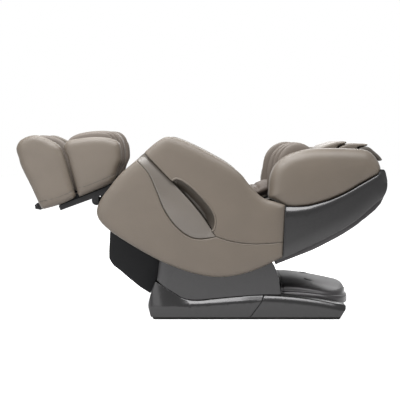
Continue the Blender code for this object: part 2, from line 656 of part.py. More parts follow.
CUSHION_HALF, WING_IN, WING_OUT = 0.162, 0.166, 0.2445
BACK_RAIL = (0.228, 0.242)


def lobed(name, points, y0, y1, lobes, depth, material, body, side):
    """A pad of rounded lobes side by side, which follow one side outline."""
    rings = []
    for lobe in range(lobes):
        low = y0 + (y1 - y0) * lobe / lobes
        width = (y1 - y0) / lobes
        first = lobe == 0
        shares = ((0.0, 1.0), (0.18, 0.35), (0.5, 0.0), (0.82, 0.35), (1.0, 1.0))
        for share, drop in shares if first else shares[1:]:
            rings.append((inset(points, 0.001 + depth * drop), side * (low + width * share)))
    bm = ring_mesh([[(p[0], y, p[1]) for p in ring] for ring, y in rings])
    return new_object(name, bm, material, body)


def build_back_frame():
    """Two side rails from the hinge to the head, cross bars, roller tracks and a lever."""
    pieces = []
    for _, side in SIDES:
        rail = [(-0.024, -0.020), (0.020, -0.024), (0.080, -0.118), (0.740, -0.118),
                (0.740, -0.088), (0.095, -0.088), (0.030, 0.014), (0.000, 0.026),
                (-0.024, 0.016)]
        pieces.append(strut(back_points(rail), side * BACK_RAIL[0], side * BACK_RAIL[1], BACK))
        track = [(0.105, -0.112), (0.730, -0.112), (0.730, -0.096), (0.105, -0.096)]
        pieces.append(strut(back_points(track), side * 0.104, side * 0.116, BACK))
        lever = [(0.032, -0.134), (0.052, -0.134), (0.125, -0.118), (0.125, -0.100),
                 (0.032, -0.112)]
        pieces.append(strut(back_points(lever), side * 0.022, side * 0.028, BACK))
        for along in (0.200, 0.690):
            leg = [(along, -0.200), (along + 0.030, -0.200), (along + 0.030, -0.112),
                   (along, -0.112)]
            arm = [(along + 0.004, -0.197), (along + 0.026, -0.197), (along + 0.026, -0.187),
                   (along + 0.004, -0.187)]
            pieces.append(strut(back_points(leg), side * (BACK_RAIL[0] + 0.002),
                                side * (BACK_RAIL[1] - 0.002), BACK))
            pieces.append(strut(back_points(arm), side * (BACK_RAIL[0] + 0.004), side * 0.3335,
                                BACK))
    for along in (0.115, 0.727):
        bar = [(along - 0.012, -0.116), (along + 0.012, -0.116), (along + 0.012, -0.090),
               (along - 0.012, -0.090)]
        pieces.append(strut(back_points(bar), -BACK_RAIL[0] - 0.004, BACK_RAIL[0] + 0.004, BACK))
    pieces.append(rod("pin", *RECLINE_PUSH, -0.026, 0.026, PIN_R, STEEL, BACK, 10))
    return weld_frame("back_frame", pieces,
                      [(*RECLINE_AXIS, SHAFT_R + BORE_CLEARANCE, -0.27, 0.27)])


build_back_frame()
slab("rear_shell", smooth_closed(REAR_SHELL, (0, 12, 13, 25), 1), -0.3340, 0.3340, SHELL, BACK)
for name, side in SIDES:
    domed(f"side_cover_{name}", smooth_closed(SIDE_COVER, (0, 10, 11, 25), 1), 0.3345,
          SIDE_COVER_OUT, 0.006, 0.0, SILVER, BACK, side, 2)
    domed(f"shoulder_pod_{name}", smooth_closed(SHOULDER, (), 1), POD_IN, POD_OUT, 0.030, 0.010,
          LEATHER, BACK, side, 3)
    lobed(f"shoulder_wing_{name}", smooth_closed(WING, (), 1), WING_IN, WING_OUT, 3, 0.006,
          RIB_LEATHER, BACK, side)

cushion("back_cushion", back_points([(0.036, -0.008), (0.120, -0.018), (0.350, -0.022),
                                     (0.540, -0.024)]),
        0.046, -CUSHION_HALF, CUSHION_HALF, PAD_FABRIC, BACK, (0.3, 0.45, 0.6, 0.75), 0.008)
lobed("head_pillow", smooth_closed(PILLOW, (5, 9, 13), 1), -0.155, 0.155, 1, 0.006, LEATHER,
      BACK, 1)


KNEAD_AXIS = tuple(back_points([(0.400, -0.103)])[0])
CARRIAGE = axis_empty("massage_carriage_slide", *KNEAD_AXIS, BACK)
KNEAD = axis_empty("kneading_axis", *KNEAD_AXIS, CARRIAGE)


def build_carriage():
    """The roller carriage that runs between the two tracks, with bearings for its shaft."""
    pieces = []
    block = [(0.340, -0.172), (0.460, -0.172), (0.460, -0.153), (0.340, -0.153)]
    pieces.append(strut(back_points(block), -0.098, 0.098, CARRIAGE))
    for side in (-1, 1):
        cheek = [(0.370, -0.160), (0.430, -0.160), (0.420, -0.086), (0.380, -0.086)]
        pieces.append(strut(back_points(cheek), side * 0.088, side * 0.098, CARRIAGE))
    return weld_frame("massage_carriage", pieces, [(*KNEAD_AXIS, 0.0086, -0.12, 0.12)])


def build_kneading_unit():
    """The kneading shaft with four arms, each with a massage roller at its end."""
    x, z = KNEAD_AXIS
    pieces = [rod("shaft", x, z, -0.1015, 0.1015, 0.008, BRIGHT, KNEAD, 12)]
    for across, angle in ((-0.060, 0.0), (-0.030, math.pi), (0.030, 0.0), (0.060, math.pi)):
        tip = (x + 0.030 * math.cos(angle), z + 0.030 * math.sin(angle))
        arm = [(x, z - 0.007), (tip[0], tip[1] - 0.005), (tip[0], tip[1] + 0.005), (x, z + 0.007)]
        pieces.append(slab("arm", [Vector(p) for p in arm], across - 0.004, across + 0.004,
                           BRIGHT, KNEAD))
        pieces.append(rod("roller", *tip, across - 0.011, across + 0.011, 0.015, RUBBER, KNEAD,
                          14))
    unit = pieces[0]
    unit.name = "kneading_unit"
    return joined_mesh(unit, pieces[1:], "UNION")


build_carriage()
build_kneading_unit()

# ---------------------------------------------------------------- leg rest
CALF = [
    (-0.678, 0.842), (-0.672, 0.869), (-0.654, 0.884), (-0.619, 0.891), (-0.569, 0.898),
    (-0.520, 0.902), (-0.470, 0.899), (-0.436, 0.891), (-0.406, 0.876), (-0.396, 0.856),
    (-0.392, 0.827), (-0.392, 0.787), (-0.402, 0.762), (-0.412, 0.738), (-0.422, 0.698),
    (-0.439, 0.672), (-0.520, 0.636), (-0.602, 0.603), (-0.612, 0.620), (-0.634, 0.705),
    (-0.661, 0.800),
]
CALF_TALL = [
    (-0.672, 0.850), (-0.664, 0.885), (-0.630, 0.908), (-0.585, 0.922), (-0.530, 0.930),
    (-0.480, 0.930), (-0.440, 0.924), (-0.412, 0.900), (-0.397, 0.862), (-0.394, 0.820),
    (-0.397, 0.775), (-0.412, 0.735), (-0.428, 0.700), (-0.455, 0.688), (-0.520, 0.662),
    (-0.595, 0.632), (-0.615, 0.650), (-0.636, 0.720), (-0.657, 0.800),
]
FOOT_SIDE = [
    (-0.911, 0.856), (-0.891, 0.873), (-0.841, 0.903), (-0.812, 0.908), (-0.782, 0.901),
    (-0.743, 0.884), (-0.713, 0.868), (-0.696, 0.852), (-0.686, 0.830), (-0.674, 0.800),
    (-0.646, 0.698), (-0.622, 0.608), (-0.632, 0.595), (-0.707, 0.562), (-0.784, 0.540),
    (-0.796, 0.548), (-0.845, 0.655), (-0.893, 0.757), (-0.904, 0.797), (-0.915, 0.837),
]
LEG_RAIL = (0.228, 0.242)
FOOT_RAIL = (0.208, 0.222)
ROLLER_AT = (-0.525, 0.580)
FOOT_WHEEL_AT = (-0.818, 0.553)
BOLSTER = (0.176, 0.2345)
DIVIDER_HALF = 0.042
BOOT_HALF = 0.204


def build_leg_frame():
    """Two rails from the knee hinge, a cross bar, roller brackets and a lever for the lift."""
    pieces = []
    for _, side in SIDES:
        rail = [(-0.022, -0.020), (0.020, -0.016), (0.365, -0.012), (0.365, 0.012),
                (0.020, 0.016), (-0.022, 0.016)]
        pieces.append(strut(leg_points(rail), side * LEG_RAIL[0], side * LEG_RAIL[1], LEG))
        rx, rz = ROLLER_AT
        bracket = [(rx - 0.014, rz - 0.012), (rx + 0.014, rz - 0.012), (rx + 0.016, rz + 0.030),
                   (rx - 0.020, rz + 0.024)]
        pieces.append(strut(bracket, side * LEG_RAIL[0], side * LEG_RAIL[1], LEG))
        lever = [(-0.492, 0.619), (-0.430, 0.618), (-0.430, 0.640), (-0.492, 0.641)]
        pieces.append(strut(lever, side * 0.022, side * 0.028, LEG))
    bar = [(0.115, -0.010), (0.137, -0.010), (0.137, 0.010), (0.115, 0.010)]
    pieces.append(strut(leg_points(bar), -LEG_RAIL[0] - 0.004, LEG_RAIL[0] + 0.004, LEG))
    pieces.append(rod("pin", *LIFT_PUSH, -0.026, 0.026, PIN_R, STEEL, LEG, 10))
    tray = [(0.074, 0.0195), (0.250, 0.0195), (0.250, 0.0270), (0.074, 0.0270)]
    pieces.append(strut(leg_points(tray), -0.2355, 0.2355, LEG))
    for along in (0.085, 0.225):
        post = [(along, 0.005), (along + 0.015, 0.005), (along + 0.015, 0.024), (along, 0.024)]
        for _, side in SIDES:
            pieces.append(strut(leg_points(post), side * 0.2285, side * 0.2350, LEG))
    return weld_frame("leg_frame", pieces, [
        (*LEG_AXIS, SHAFT_R + BORE_CLEARANCE, -0.27, 0.27),
        (*ROLLER_AT, 0.0066, -0.27, 0.27),
    ])


def build_wheel_set(name, at, body, wheel_r, wheel_in, wheel_out, axle_out, axle_r):
    """One axle across the chair with a rubber-tyred wheel near each end."""
    pieces = [rod("axle", *at, -axle_out, axle_out, axle_r, BLACK, body, 16)]
    for side in (-1, 1):
        wheel = rod("wheel", *at, side * wheel_in, side * wheel_out, wheel_r, BLACK, body, 18,
                    0.003)
        wheel.modifiers["edges"].segments = 1
        pieces.append(joined_mesh(wheel, [], "UNION"))
    pieces[0].name = name
    return joined_mesh(pieces[0], pieces[1:], "UNION")


build_leg_frame()
ROLLER = axis_empty("leg_roller_axis", *ROLLER_AT, LEG)
build_wheel_set("leg_roller", ROLLER_AT, ROLLER, 0.024, 0.176, 0.203, 0.246, 0.006)
for name, side in SIDES:
    domed(f"calf_pod_{name}", smooth_closed(CALF, (), 1), LEG_POD_IN, LEG_OUT, 0.016, 0.006,
          LEATHER, LEG, side, 3)
    lobed(f"calf_bolster_{name}", smooth_closed(CALF_TALL, (), 1), *BOLSTER, 3, 0.006,
          RIB_LEATHER, LEG, side)
    well = sorted((side * (DIVIDER_HALF + 0.002), side * (BOLSTER[0] - 0.002)))
    cushion(f"calf_pad_{name}", leg_points([(0.090, 0.046), (0.160, 0.043), (0.240, 0.046)]),
            0.026, *well, PAD_FABRIC, LEG, (0.35, 0.65), 0.004, 12)
lobed("calf_divider", inset(smooth_closed(CALF_TALL, (), 1), 0.002), -DIVIDER_HALF,
      DIVIDER_HALF, 2, 0.006, RIB_LEATHER, LEG, 1)

# ---------------------------------------------------------------- foot rest
BOOT = [
    (-0.905, 0.850), (-0.905, 0.835), (-0.895, 0.797), (-0.884, 0.757), (-0.837, 0.655),
    (-0.789, 0.552), (-0.780, 0.549), (-0.707, 0.570), (-0.640, 0.598), (-0.645, 0.610),
    (-0.710, 0.582), (-0.777, 0.562), (-0.825, 0.660), (-0.872, 0.761), (-0.882, 0.800),
    (-0.891, 0.850),
]

FOOT_DIVIDER = [
    (-0.856, 0.850), (-0.846, 0.886), (-0.820, 0.902), (-0.780, 0.902), (-0.740, 0.888),
    (-0.708, 0.864), (-0.695, 0.835), (-0.680, 0.795), (-0.655, 0.700), (-0.636, 0.632),
    (-0.650, 0.617), (-0.700, 0.595), (-0.752, 0.582), (-0.770, 0.620), (-0.815, 0.730),
    (-0.840, 0.790),
]


def build_foot_frame():
    """Two tubes that slide inside the leg rails, a cross bar and the wheel brackets."""
    pieces = []
    for _, side in SIDES:
        tube = [(0.150, -0.010), (0.365, -0.010), (0.365, 0.010), (0.150, 0.010)]
        pieces.append(strut(leg_points(tube), side * FOOT_RAIL[0], side * FOOT_RAIL[1], FOOT))
        hook = [(0.300, -0.008), (0.365, -0.008), (0.366, 0.023), (0.462, 0.026),
                (0.484, 0.040), (0.480, 0.060), (0.458, 0.062), (0.430, 0.052),
                (0.300, 0.048)]
        pieces.append(strut(leg_points(hook), side * FOOT_RAIL[0], side * FOOT_RAIL[1], FOOT))
    bar = [(0.335, -0.008), (0.358, -0.008), (0.358, 0.008), (0.335, 0.008)]
    pieces.append(strut(leg_points(bar), -FOOT_RAIL[0] - 0.004, FOOT_RAIL[0] + 0.004, FOOT))
    return weld_frame("foot_frame", pieces, [(*FOOT_WHEEL_AT, 0.0056, -0.25, 0.25)])


build_foot_frame()
FOOT_ROLL = axis_empty("foot_wheel_axis", *FOOT_WHEEL_AT, FOOT)
build_wheel_set("foot_wheels", FOOT_WHEEL_AT, FOOT_ROLL, 0.0165, 0.186, 0.206, 0.226, 0.005)
slab("boot_shell", smooth_closed(BOOT, (0, 9, 10, 15), 1), -BOOT_HALF, BOOT_HALF, PAD_FABRIC,
     FOOT)
for name, side in SIDES:
    domed(f"foot_pod_{name}", smooth_closed(FOOT_SIDE, (), 1), LEG_POD_IN, LEG_OUT, 0.016,
          0.006, LEATHER, FOOT, side, 3)
lobed("foot_divider", inset(smooth_closed(FOOT_DIVIDER, (), 1), 0.001), -DIVIDER_HALF,
      DIVIDER_HALF, 2, 0.006, RIB_LEATHER, FOOT, 1)
cushion("sole_pad", [(-0.868, 0.800), (-0.840, 0.735), (-0.806, 0.660), (-0.775, 0.595)],
        0.024, -BOOT_HALF, BOOT_HALF, PAD_FABRIC, FOOT, (0.35, 0.65), 0.004, 12)
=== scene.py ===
"""The looks of a reclining massage chair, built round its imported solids.

It is laid out as a Blender add-on and run as a script. All sizes are in metres, in the frame of
the solids: the foot end points to -X, the head end to +X and the near side to -Y. Side outlines
are (x, z) points of a smooth closed curve.
"""

import json
import math

import bmesh
import bpy
import numpy as np
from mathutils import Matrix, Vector
from mathutils.geometry import delaunay_2d_cdt


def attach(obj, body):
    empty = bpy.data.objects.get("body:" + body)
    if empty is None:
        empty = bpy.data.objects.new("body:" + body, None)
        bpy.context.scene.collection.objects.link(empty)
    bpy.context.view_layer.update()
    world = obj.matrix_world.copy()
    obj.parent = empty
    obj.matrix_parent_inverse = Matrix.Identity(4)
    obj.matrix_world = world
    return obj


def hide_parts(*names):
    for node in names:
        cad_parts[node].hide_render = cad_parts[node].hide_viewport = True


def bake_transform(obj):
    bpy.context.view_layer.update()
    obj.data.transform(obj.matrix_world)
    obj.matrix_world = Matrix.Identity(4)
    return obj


bl_info = {
    "name": "Massage Chair",
    "version": (1, 0, 0),
    "blender": (4, 5, 0),
    "location": "3D View > Sidebar > Massage Chair",
    "description": "Builds the upholstery, covers and studio of a reclining massage chair",
    "category": "Object",
}

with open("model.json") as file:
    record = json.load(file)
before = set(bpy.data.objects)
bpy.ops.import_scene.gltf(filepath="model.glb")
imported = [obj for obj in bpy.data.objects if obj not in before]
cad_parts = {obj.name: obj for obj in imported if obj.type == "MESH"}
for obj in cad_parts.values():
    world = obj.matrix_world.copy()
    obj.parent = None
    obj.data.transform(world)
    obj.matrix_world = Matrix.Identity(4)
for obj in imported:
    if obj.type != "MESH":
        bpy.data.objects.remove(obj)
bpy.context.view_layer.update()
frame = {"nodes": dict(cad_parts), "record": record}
NODES = frame["nodes"]
RECORD = frame["record"]
BODY_OF = {node: body for body, nodes in RECORD["behaviour"]["bodies"].items() for node in nodes}
SLOT_OF = {part["node"]: part["material_slot"] for part in RECORD["subparts"]}
SIDES = (("L", -1), ("R", 1))


# ---------------------------------------------------------------- what a user would change
def a_length(name, description, default, low, high):
    """A setting that is a length."""
    return bpy.props.FloatProperty(name=name, description=description, default=default, min=low,
                                   max=high, subtype="DISTANCE")


def a_colour(name, description, default):
    """A setting that is a colour."""
    return bpy.props.FloatVectorProperty(name=name, description=description, default=default,
                                         subtype="COLOR", min=0, max=1)


class ChairSizes(bpy.types.PropertyGroup):
    """Sizes of the upholstery that a user would change."""

    arm_round: a_length("Arm rounding", "How far the arm's outer edge is rounded in",
                        0.056, 0.01, 0.08)
    pod_round: a_length("Pod rounding", "How far the padded side pods are rounded in",
                        0.034, 0.01, 0.06)
    seam_width: a_length("Seam width", "Width of the groove where two panels are sewn",
                         0.006, 0.002, 0.012)
    stitch_pitch: a_length("Stitch pitch", "Distance from one stitch to the next",
                           0.0065, 0.003, 0.02)
    pad_pressure: bpy.props.FloatProperty(
        name="Pad pressure", description="Pressure that fills the sewn pads",
        default=4.0, min=0.0, max=12.0)
    pad_swell: a_length("Pad swell", "The furthest that a pad's cover may move when it is filled",
                        0.010, 0.0, 0.03)


class ChairColours(bpy.types.PropertyGroup):
    """Colours of the finishes."""

    leather: a_colour("Leather", "Colour of the smooth outer leather", (0.107, 0.0872, 0.0680))
    ribbed: a_colour("Ribbed leather", "Colour of the ribbed bolsters and wings",
                     (0.095, 0.076, 0.061))
    lining: a_colour("Pad leather", "Colour of the perforated leather that is sat on",
                     (0.062, 0.046, 0.036))
    silver: a_colour("Dark silver", "Colour of the painted covers", (0.026, 0.0255, 0.026))
    shell: a_colour("Rear shell", "Colour of the rear shell and the deck", (0.026, 0.024, 0.0255))


# ---------------------------------------------------------------- nodes and their arithmetic
def new_node(tree, kind, settings=None, inputs=None, output=0):
    """One output of a new node: its settings come first, then its inputs are set or linked."""
    made = tree.nodes.new(kind)
    for key, value in (settings or {}).items():
        setattr(made, key, value)
    for key, value in (inputs or {}).items():
        value = getattr(value, "socket", value)
        if isinstance(value, bpy.types.NodeSocket):
            tree.links.new(value, made.inputs[key])
        else:
            made.inputs[key].default_value = value
    return made.outputs[output]


class Value:
    """A shader socket that takes part in arithmetic: each operator adds its Math node."""

    def __init__(self, tree, socket):
        self.tree = tree
        self.socket = socket

    def _math(self, operation, *terms):
        return Value(self.tree, new_node(self.tree, "ShaderNodeMath", {"operation": operation},
                                         dict(enumerate(terms))))

    def __add__(self, other):
        return self._math("ADD", self, other)

    def __rsub__(self, other):
        return self._math("SUBTRACT", other, self)

    def __mul__(self, other):
        return self._math("MULTIPLY", self, other)

    def __truediv__(self, other):
        return self._math("DIVIDE", self, other)

    def __pow__(self, other):
        return self._math("POWER", self, other)

    __radd__ = __add__
    __rmul__ = __mul__

    def ping(self, length):
        """The distance to the nearest multiple of length, from 0 to half of it."""
        return self._math("PINGPONG", self + length / 2, length / 2)

    def ramp(self, low, high):
        """0 at low and below, 1 at high and above, smooth between."""
        return Value(self.tree, new_node(
            self.tree, "ShaderNodeMapRange", {"interpolation_type": "SMOOTHSTEP"},
            {"Value": self, "From Min": low, "From Max": high}, "Result"))


class Finish:
    """One material: its Principled shader, and the nodes that feed it."""

    def __init__(self, name, **settings):
        self.material = bpy.data.materials.new(name)
        self.material.use_nodes = True
        self.tree = self.material.node_tree
        self.shader = self.tree.nodes["Principled BSDF"]
        self.place = self.node("ShaderNodeTexCoord", output="Object")
        self.set(**settings)

    def node(self, kind, settings=None, output=0, **inputs):
        """One output of a new node, as a value."""
        return Value(self.tree, new_node(self.tree, kind, settings, inputs, output))

    def set(self, **inputs):
        """Sets or links the shader's own inputs, named with _ for each space."""
        for key, value in inputs.items():
            slot = self.shader.inputs[key.replace("_", " ")]
            if isinstance(value, Value):
                self.tree.links.new(value.socket, slot)
            else:
                slot.default_value = value

    def noise(self, scale, detail=2.0, roughness=0.5, place=None):
        return self.node("ShaderNodeTexNoise", None, "Fac", Vector=place or self.place,
                         Scale=scale, Detail=detail, Roughness=roughness)

    def cells(self, scale, feature="DISTANCE_TO_EDGE", randomness=1.0, place=None):
        return self.node("ShaderNodeTexVoronoi", {"feature": feature}, "Distance",
                         Vector=place or self.place, Scale=scale, Randomness=randomness)

    def axis(self, letter):
        return self.node("ShaderNodeSeparateXYZ", None, letter, Vector=self.place)

    def stretched(self, x, y, z):
        """Object coordinates scaled along each axis."""
        return self.node("ShaderNodeMapping", None, "Vector", Vector=self.place,
                         Scale=(x, y, z))

    def mixed(self, share, first, second):
        """A colour between two, each a tuple or a link."""
        first, second = (c if isinstance(c, Value) else (*c, 1.0) for c in (first, second))
        return Value(self.tree, new_node(self.tree, "ShaderNodeMix", {"data_type": "RGBA"},
                                         {0: share, 6: first, 7: second}, 2))

    def bump(self, height, distance, strength=1.0):
        self.set(Normal=self.node("ShaderNodeBump", None, "Normal", Height=height,
                                  Distance=distance, Strength=strength))


def scaled(colour, share):
    return tuple(min(1.0, c * share) for c in colour)


# ---------------------------------------------------------------- finishes
GRAIN = 620.0  # leather cells in a metre
CREASE = 46.0  # soft creases in a metre
PERFORATION = 0.0062  # distance between the punched holes of the pad leather
HOLE = 0.0011  # radius of a punched hole
FLAKE = 1500.0  # metal flakes in a metre of paint


def leaf_highlight_tone(colour):
    """The arm leaf's satin leather: a little greyer than the rest, and lighter by a painted
    highlight.
    """
    grey = sum(colour) / 3
    return tuple(1.18 * (0.60 * c + 0.40 * grey) for c in colour)


def leather_finish(name, colour, grain=1.0, wear=0.05, roughness=0.36):
    """Grained leather: fine cells, soft creases, and a slightly uneven dye."""
    made = Finish(name, Specular_IOR_Level=0.5, Sheen_Weight=0.05, Sheen_Roughness=0.5)
    cells = made.cells(GRAIN)
    crease = made.noise(CREASE, 5.0, 0.62)
    dye = made.noise(7.0, 3.0, 0.5)
    tone = made.mixed(dye.ramp(0.30, 0.70), scaled(colour, 1.0 - wear), scaled(colour, 1.0 + wear))
    pores = (1 - cells.ramp(0.0, 0.16)) * 0.30
    made.set(Base_Color=made.mixed(pores, tone, scaled(colour, 0.55)),
             Roughness=roughness + crease * 0.12 + pores * 0.2)
    made.bump(cells.ramp(0.0, 0.28) * 0.6 + crease * 0.8, 0.00035 * grain, 0.55)
    return made.material


def punched_finish(name, colour):
    """Pad leather with rows of small punched holes, seen from above."""
    made = Finish(name, Specular_IOR_Level=0.35)
    x, y = made.axis("X"), made.axis("Y")
    across = x.ping(PERFORATION)
    along = y.ping(PERFORATION)
    hole = 1 - ((across ** 2.0 + along ** 2.0) ** 0.5).ramp(HOLE * 0.7, HOLE * 1.3)
    grain = made.noise(GRAIN, 3.0, 0.6)
    dye = made.noise(9.0, 3.0, 0.5)
    tone = made.mixed(dye.ramp(0.3, 0.7), scaled(colour, 0.85), scaled(colour, 1.2))
    made.set(Base_Color=made.mixed(hole * 0.75, tone, scaled(colour, 0.25)),
             Roughness=0.52 + grain * 0.15)
    made.bump(grain * 0.3 + (1 - hole) * 0.7, 0.0005, 0.5)
    return made.material


def paint_finish(name, colour, gloss=0.21, metal=0.85, coat=0.15):
    """Metallic paint: fine flakes under a clear coat, with faint orange peel."""
    made = Finish(name, Metallic=metal, Coat_Roughness=0.12)
    flake = made.noise(FLAKE, 1.0, 0.5)
    cloud = made.noise(5.0, 2.0, 0.5)
    peel = made.noise(160.0, 2.0, 0.5)
    made.set(Base_Color=made.mixed(flake.ramp(0.35, 0.65), scaled(colour, 0.82),
                                   scaled(colour, 1.20)),
             Roughness=gloss + cloud * 0.08 + flake * 0.04,
             Coat_Weight=coat + cloud * 0.05)
    made.bump(peel, 0.00012, 0.35)
    return made.material


def moulded_finish(name, colour, roughness=0.62, texture=420.0, depth=0.00025):
    """Moulded plastic with a fine spark-eroded texture."""
    made = Finish(name, Specular_IOR_Level=0.18)
    spark = made.noise(texture, 4.0, 0.65)
    cloud = made.noise(6.0, 2.0, 0.5)
    made.set(Base_Color=made.mixed(cloud.ramp(0.3, 0.7), scaled(colour, 0.88),
                                   scaled(colour, 1.14)),
             Roughness=roughness + spark * 0.12)
    made.bump(spark, depth, 0.5)
    return made.material


def coated_finish(name, colour):
    """Powder coat on welded steel: orange peel, a little dust in soft patches."""
    made = Finish(name, Specular_IOR_Level=0.22)
    peel = made.cells(300.0, "SMOOTH_F1")
    dust = made.noise(24.0, 5.0, 0.6)
    made.set(Base_Color=made.mixed(dust.ramp(0.50, 0.85), colour, scaled(colour, 1.8)),
             Roughness=0.46 + dust * 0.22)
    made.bump(peel, 0.0004, 0.35)
    return made.material


def ground_finish(name, colour):
    """Ground steel: fine rings round a shaft and a thin film of grease."""
    made = Finish(name, Metallic=1.0)
    rings = made.noise(1.0, 3.0, 0.6, made.stretched(90.0, 2200.0, 90.0))
    grease = made.noise(30.0, 3.0, 0.5)
    made.set(Base_Color=made.mixed(grease.ramp(0.5, 0.75), colour, scaled(colour, 0.6)),
             Roughness=0.22 + rings * 0.2)
    made.bump(rings, 0.0001, 0.4)
    return made.material


def rubber_finish(name, colour):
    """Matt rubber with a bloom of dust."""
    made = Finish(name, Specular_IOR_Level=0.3)
    bloom = made.noise(18.0, 5.0, 0.6)
    grit = made.noise(900.0, 2.0, 0.6)
    made.set(Base_Color=made.mixed(bloom.ramp(0.4, 0.75), colour, scaled(colour, 1.9)),
             Roughness=0.74 + grit * 0.15)
    made.bump(grit, 0.0002, 0.5)
    return made.material


def knit_finish(name, colour):
    """Knitted lining cloth: small loops in rows."""
    made = Finish(name, Sheen_Weight=0.25, Specular_IOR_Level=0.2)
    x, z = made.axis("X"), made.axis("Z")
    loops = (x.ping(0.0032) / 0.0016) * (z.ping(0.0032) / 0.0016)
    fluff = made.noise(800.0, 2.0, 0.6)
    made.set(Base_Color=made.mixed(loops.ramp(0.05, 0.6), scaled(colour, 0.6), colour),
             Roughness=0.85 + fluff * 0.1)
    made.bump(loops + fluff * 0.3, 0.0004, 0.6)
    return made.material


def thread_finish(name, colour):
    """Twisted sewing thread."""
    made = Finish(name, Sheen_Weight=0.2)
    ply = made.noise(1400.0, 1.0, 0.5)
    made.set(Base_Color=made.mixed(ply.ramp(0.3, 0.7), scaled(colour, 0.7), colour),
             Roughness=0.6 + ply * 0.2)
    made.bump(ply, 0.0002, 0.5)
    return made.material


FINISHES = {}


def build_finishes(colours):
    """Every finish of the chair, under the names of the record's material slots."""
    leather, ribbed = tuple(colours.leather), tuple(colours.ribbed)
    FINISHES.update({
        "taupe_leather": leather_finish("taupe_leather", leather),
        "ribbed_leather": leather_finish("ribbed_leather", ribbed, 0.8, 0.05, 0.50),
        "pad_leather": punched_finish("pad_leather", tuple(colours.lining)),
        # leaf: the leather lighter and a little greyer, a painted highlight on the leaf's satin
        # face
        "leaf_highlight_leather": leather_finish("leaf_highlight_leather", leaf_highlight_tone(leather), 0.6, 0.05, 0.24),
        # grip bowl: the leather darkened to 0.42, painted shade inside the hollow grip
        "pocket_shade_leather": leather_finish("pocket_shade_leather", scaled(leather, 0.42)),
        "piping": leather_finish("piping", scaled(leather, 0.92), 0.5),
        "seam_shadow": leather_finish("seam_shadow", scaled(leather, 0.16), 0.5),
        "dark_silver": paint_finish("dark_silver", tuple(colours.silver)),
        "rear_shell_grey": paint_finish("rear_shell_grey", tuple(colours.shell), 0.36, 0.45, 0.05),
        "black_plastic": moulded_finish("black_plastic", (0.0034, 0.0036, 0.0042)),
        "painted_steel": coated_finish("painted_steel", (0.0045, 0.0045, 0.005)),
        "bright_steel": ground_finish("bright_steel", (0.56, 0.56, 0.57)),
        "rubber": rubber_finish("rubber", (0.012, 0.012, 0.012)),
        "lining_knit": knit_finish("lining_knit", scaled(leather, 0.5)),
        "thread": thread_finish("thread", scaled(leather, 0.8)),
    })


# ---------------------------------------------------------------- mesh helpers
def linked(name, data):
    """A new object of the scene."""
    made = bpy.data.objects.new(name, data)
    bpy.context.scene.collection.objects.link(made)
    return made


def lofted(rows, count, start=0, closed=True):
    """The four-sided faces between rows of vertices, with count in each row."""
    return [(start + j * count + i, start + j * count + (i + 1) % count,
             start + (j + 1) * count + (i + 1) % count, start + (j + 1) * count + i)
            for j in range(rows - 1) for i in range(count if closed else count - 1)]


def eased(share):
    """A share from 0 to 1, which starts and ends gently."""
    return share * share * (3 - 2 * share)


def curve_through(knots, corners=(), steps=5, closed=True):
    """Points of a smooth curve through the knots. A knot in corners stays sharp."""
    knots = [Vector(k) for k in knots]
    count = len(knots)
    points = []
    for i in range(count if closed else count - 1):
        a, b = knots[i], knots[(i + 1) % count]
        before = knots[i - 1] if closed or i else a
        after = knots[(i + 2) % count] if closed or i < count - 2 else b
        length = (b - a).length
        leave = (b - before).normalized() * length
        arrive = (after - a).normalized() * length
        if i in corners or (i == 0 and not closed):
            leave = b - a
        if (i + 1) % count in corners or (i == count - 2 and not closed):
            arrive = b - a
        for k in range(steps):
            t = k / steps
            points.append(
                (2 * t**3 - 3 * t**2 + 1) * a
                + (t**3 - 2 * t**2 + t) * leave
                + (3 * t**2 - 2 * t**3) * b
                + (t**3 - t**2) * arrive
            )
    if not closed:
        points.append(knots[-1])
    return points


def open_curve(knots, steps=5):
    """Points of a smooth curve from the first knot to the last."""
    return curve_through(knots, (), steps, closed=False)


def spaced(points, pitch, closed=True):
    """The same line with its points at about one pitch, its sharp corners kept."""
    points = [Vector(p) for p in points]
    out = []
    for i in range(len(points) if closed else len(points) - 1):
        a, b = points[i], points[(i + 1) % len(points)]
        parts = max(1, round((b - a).length / pitch))
        if (b - a).length < pitch * 0.5 and out and (a - out[-1]).length < pitch * 0.5:
            continue
        out += [a.lerp(b, k / parts) for k in range(parts)]
    if not closed:
        out.append(points[-1])
    return out


def reach(points, line, closed=False):
    """The distance from each of many points to a line of straight spans."""
    line = np.array([tuple(p) for p in line])
    a = line if closed else line[:-1]
    b = np.roll(line, -1, 0) if closed else line[1:]
    best = np.full(len(points), 1e9)
    for start, end in zip(a, b):
        span = end - start
        share = np.clip(((points - start) @ span) / max(span @ span, 1e-12), 0, 1)
        gap = points - (start + share[:, None] * span)
        best = np.minimum(best, np.hypot(gap[:, 0], gap[:, 1]))
    return best


def within(points, ring):
    """Whether each point lies inside a closed line."""
    ring = np.array([tuple(p) for p in ring])
    after = np.roll(ring, -1, 0)
    count = np.zeros(len(points), int)
    for a, b in zip(ring, after):
        crosses = (a[1] > points[:, 1]) != (b[1] > points[:, 1])
        rise = b[1] - a[1] if abs(b[1] - a[1]) > 1e-12 else 1e-12
        count += crosses & (points[:, 0] < a[0] + (points[:, 1] - a[1]) * (b[0] - a[0]) / rise)
    return count % 2 == 1


def rounded(distance, radius, depth):
    """How far an edge's quarter-round drops at a distance in from the edge."""
    t = 1 - np.clip(distance / radius, 0, 1)
    return depth * (1 - np.sqrt(1 - t**2))


def chamfered(distance, width, lean, soft=0.004):
    """How far a soft chamfer drops at a distance in from the edge."""
    return lean * soft * np.log1p(np.exp(np.clip((width - distance) / soft, -30, 30)))


BANDS = (0.0012, 0.003, 0.0055, 0.009, 0.0135, 0.019, 0.026, 0.034)


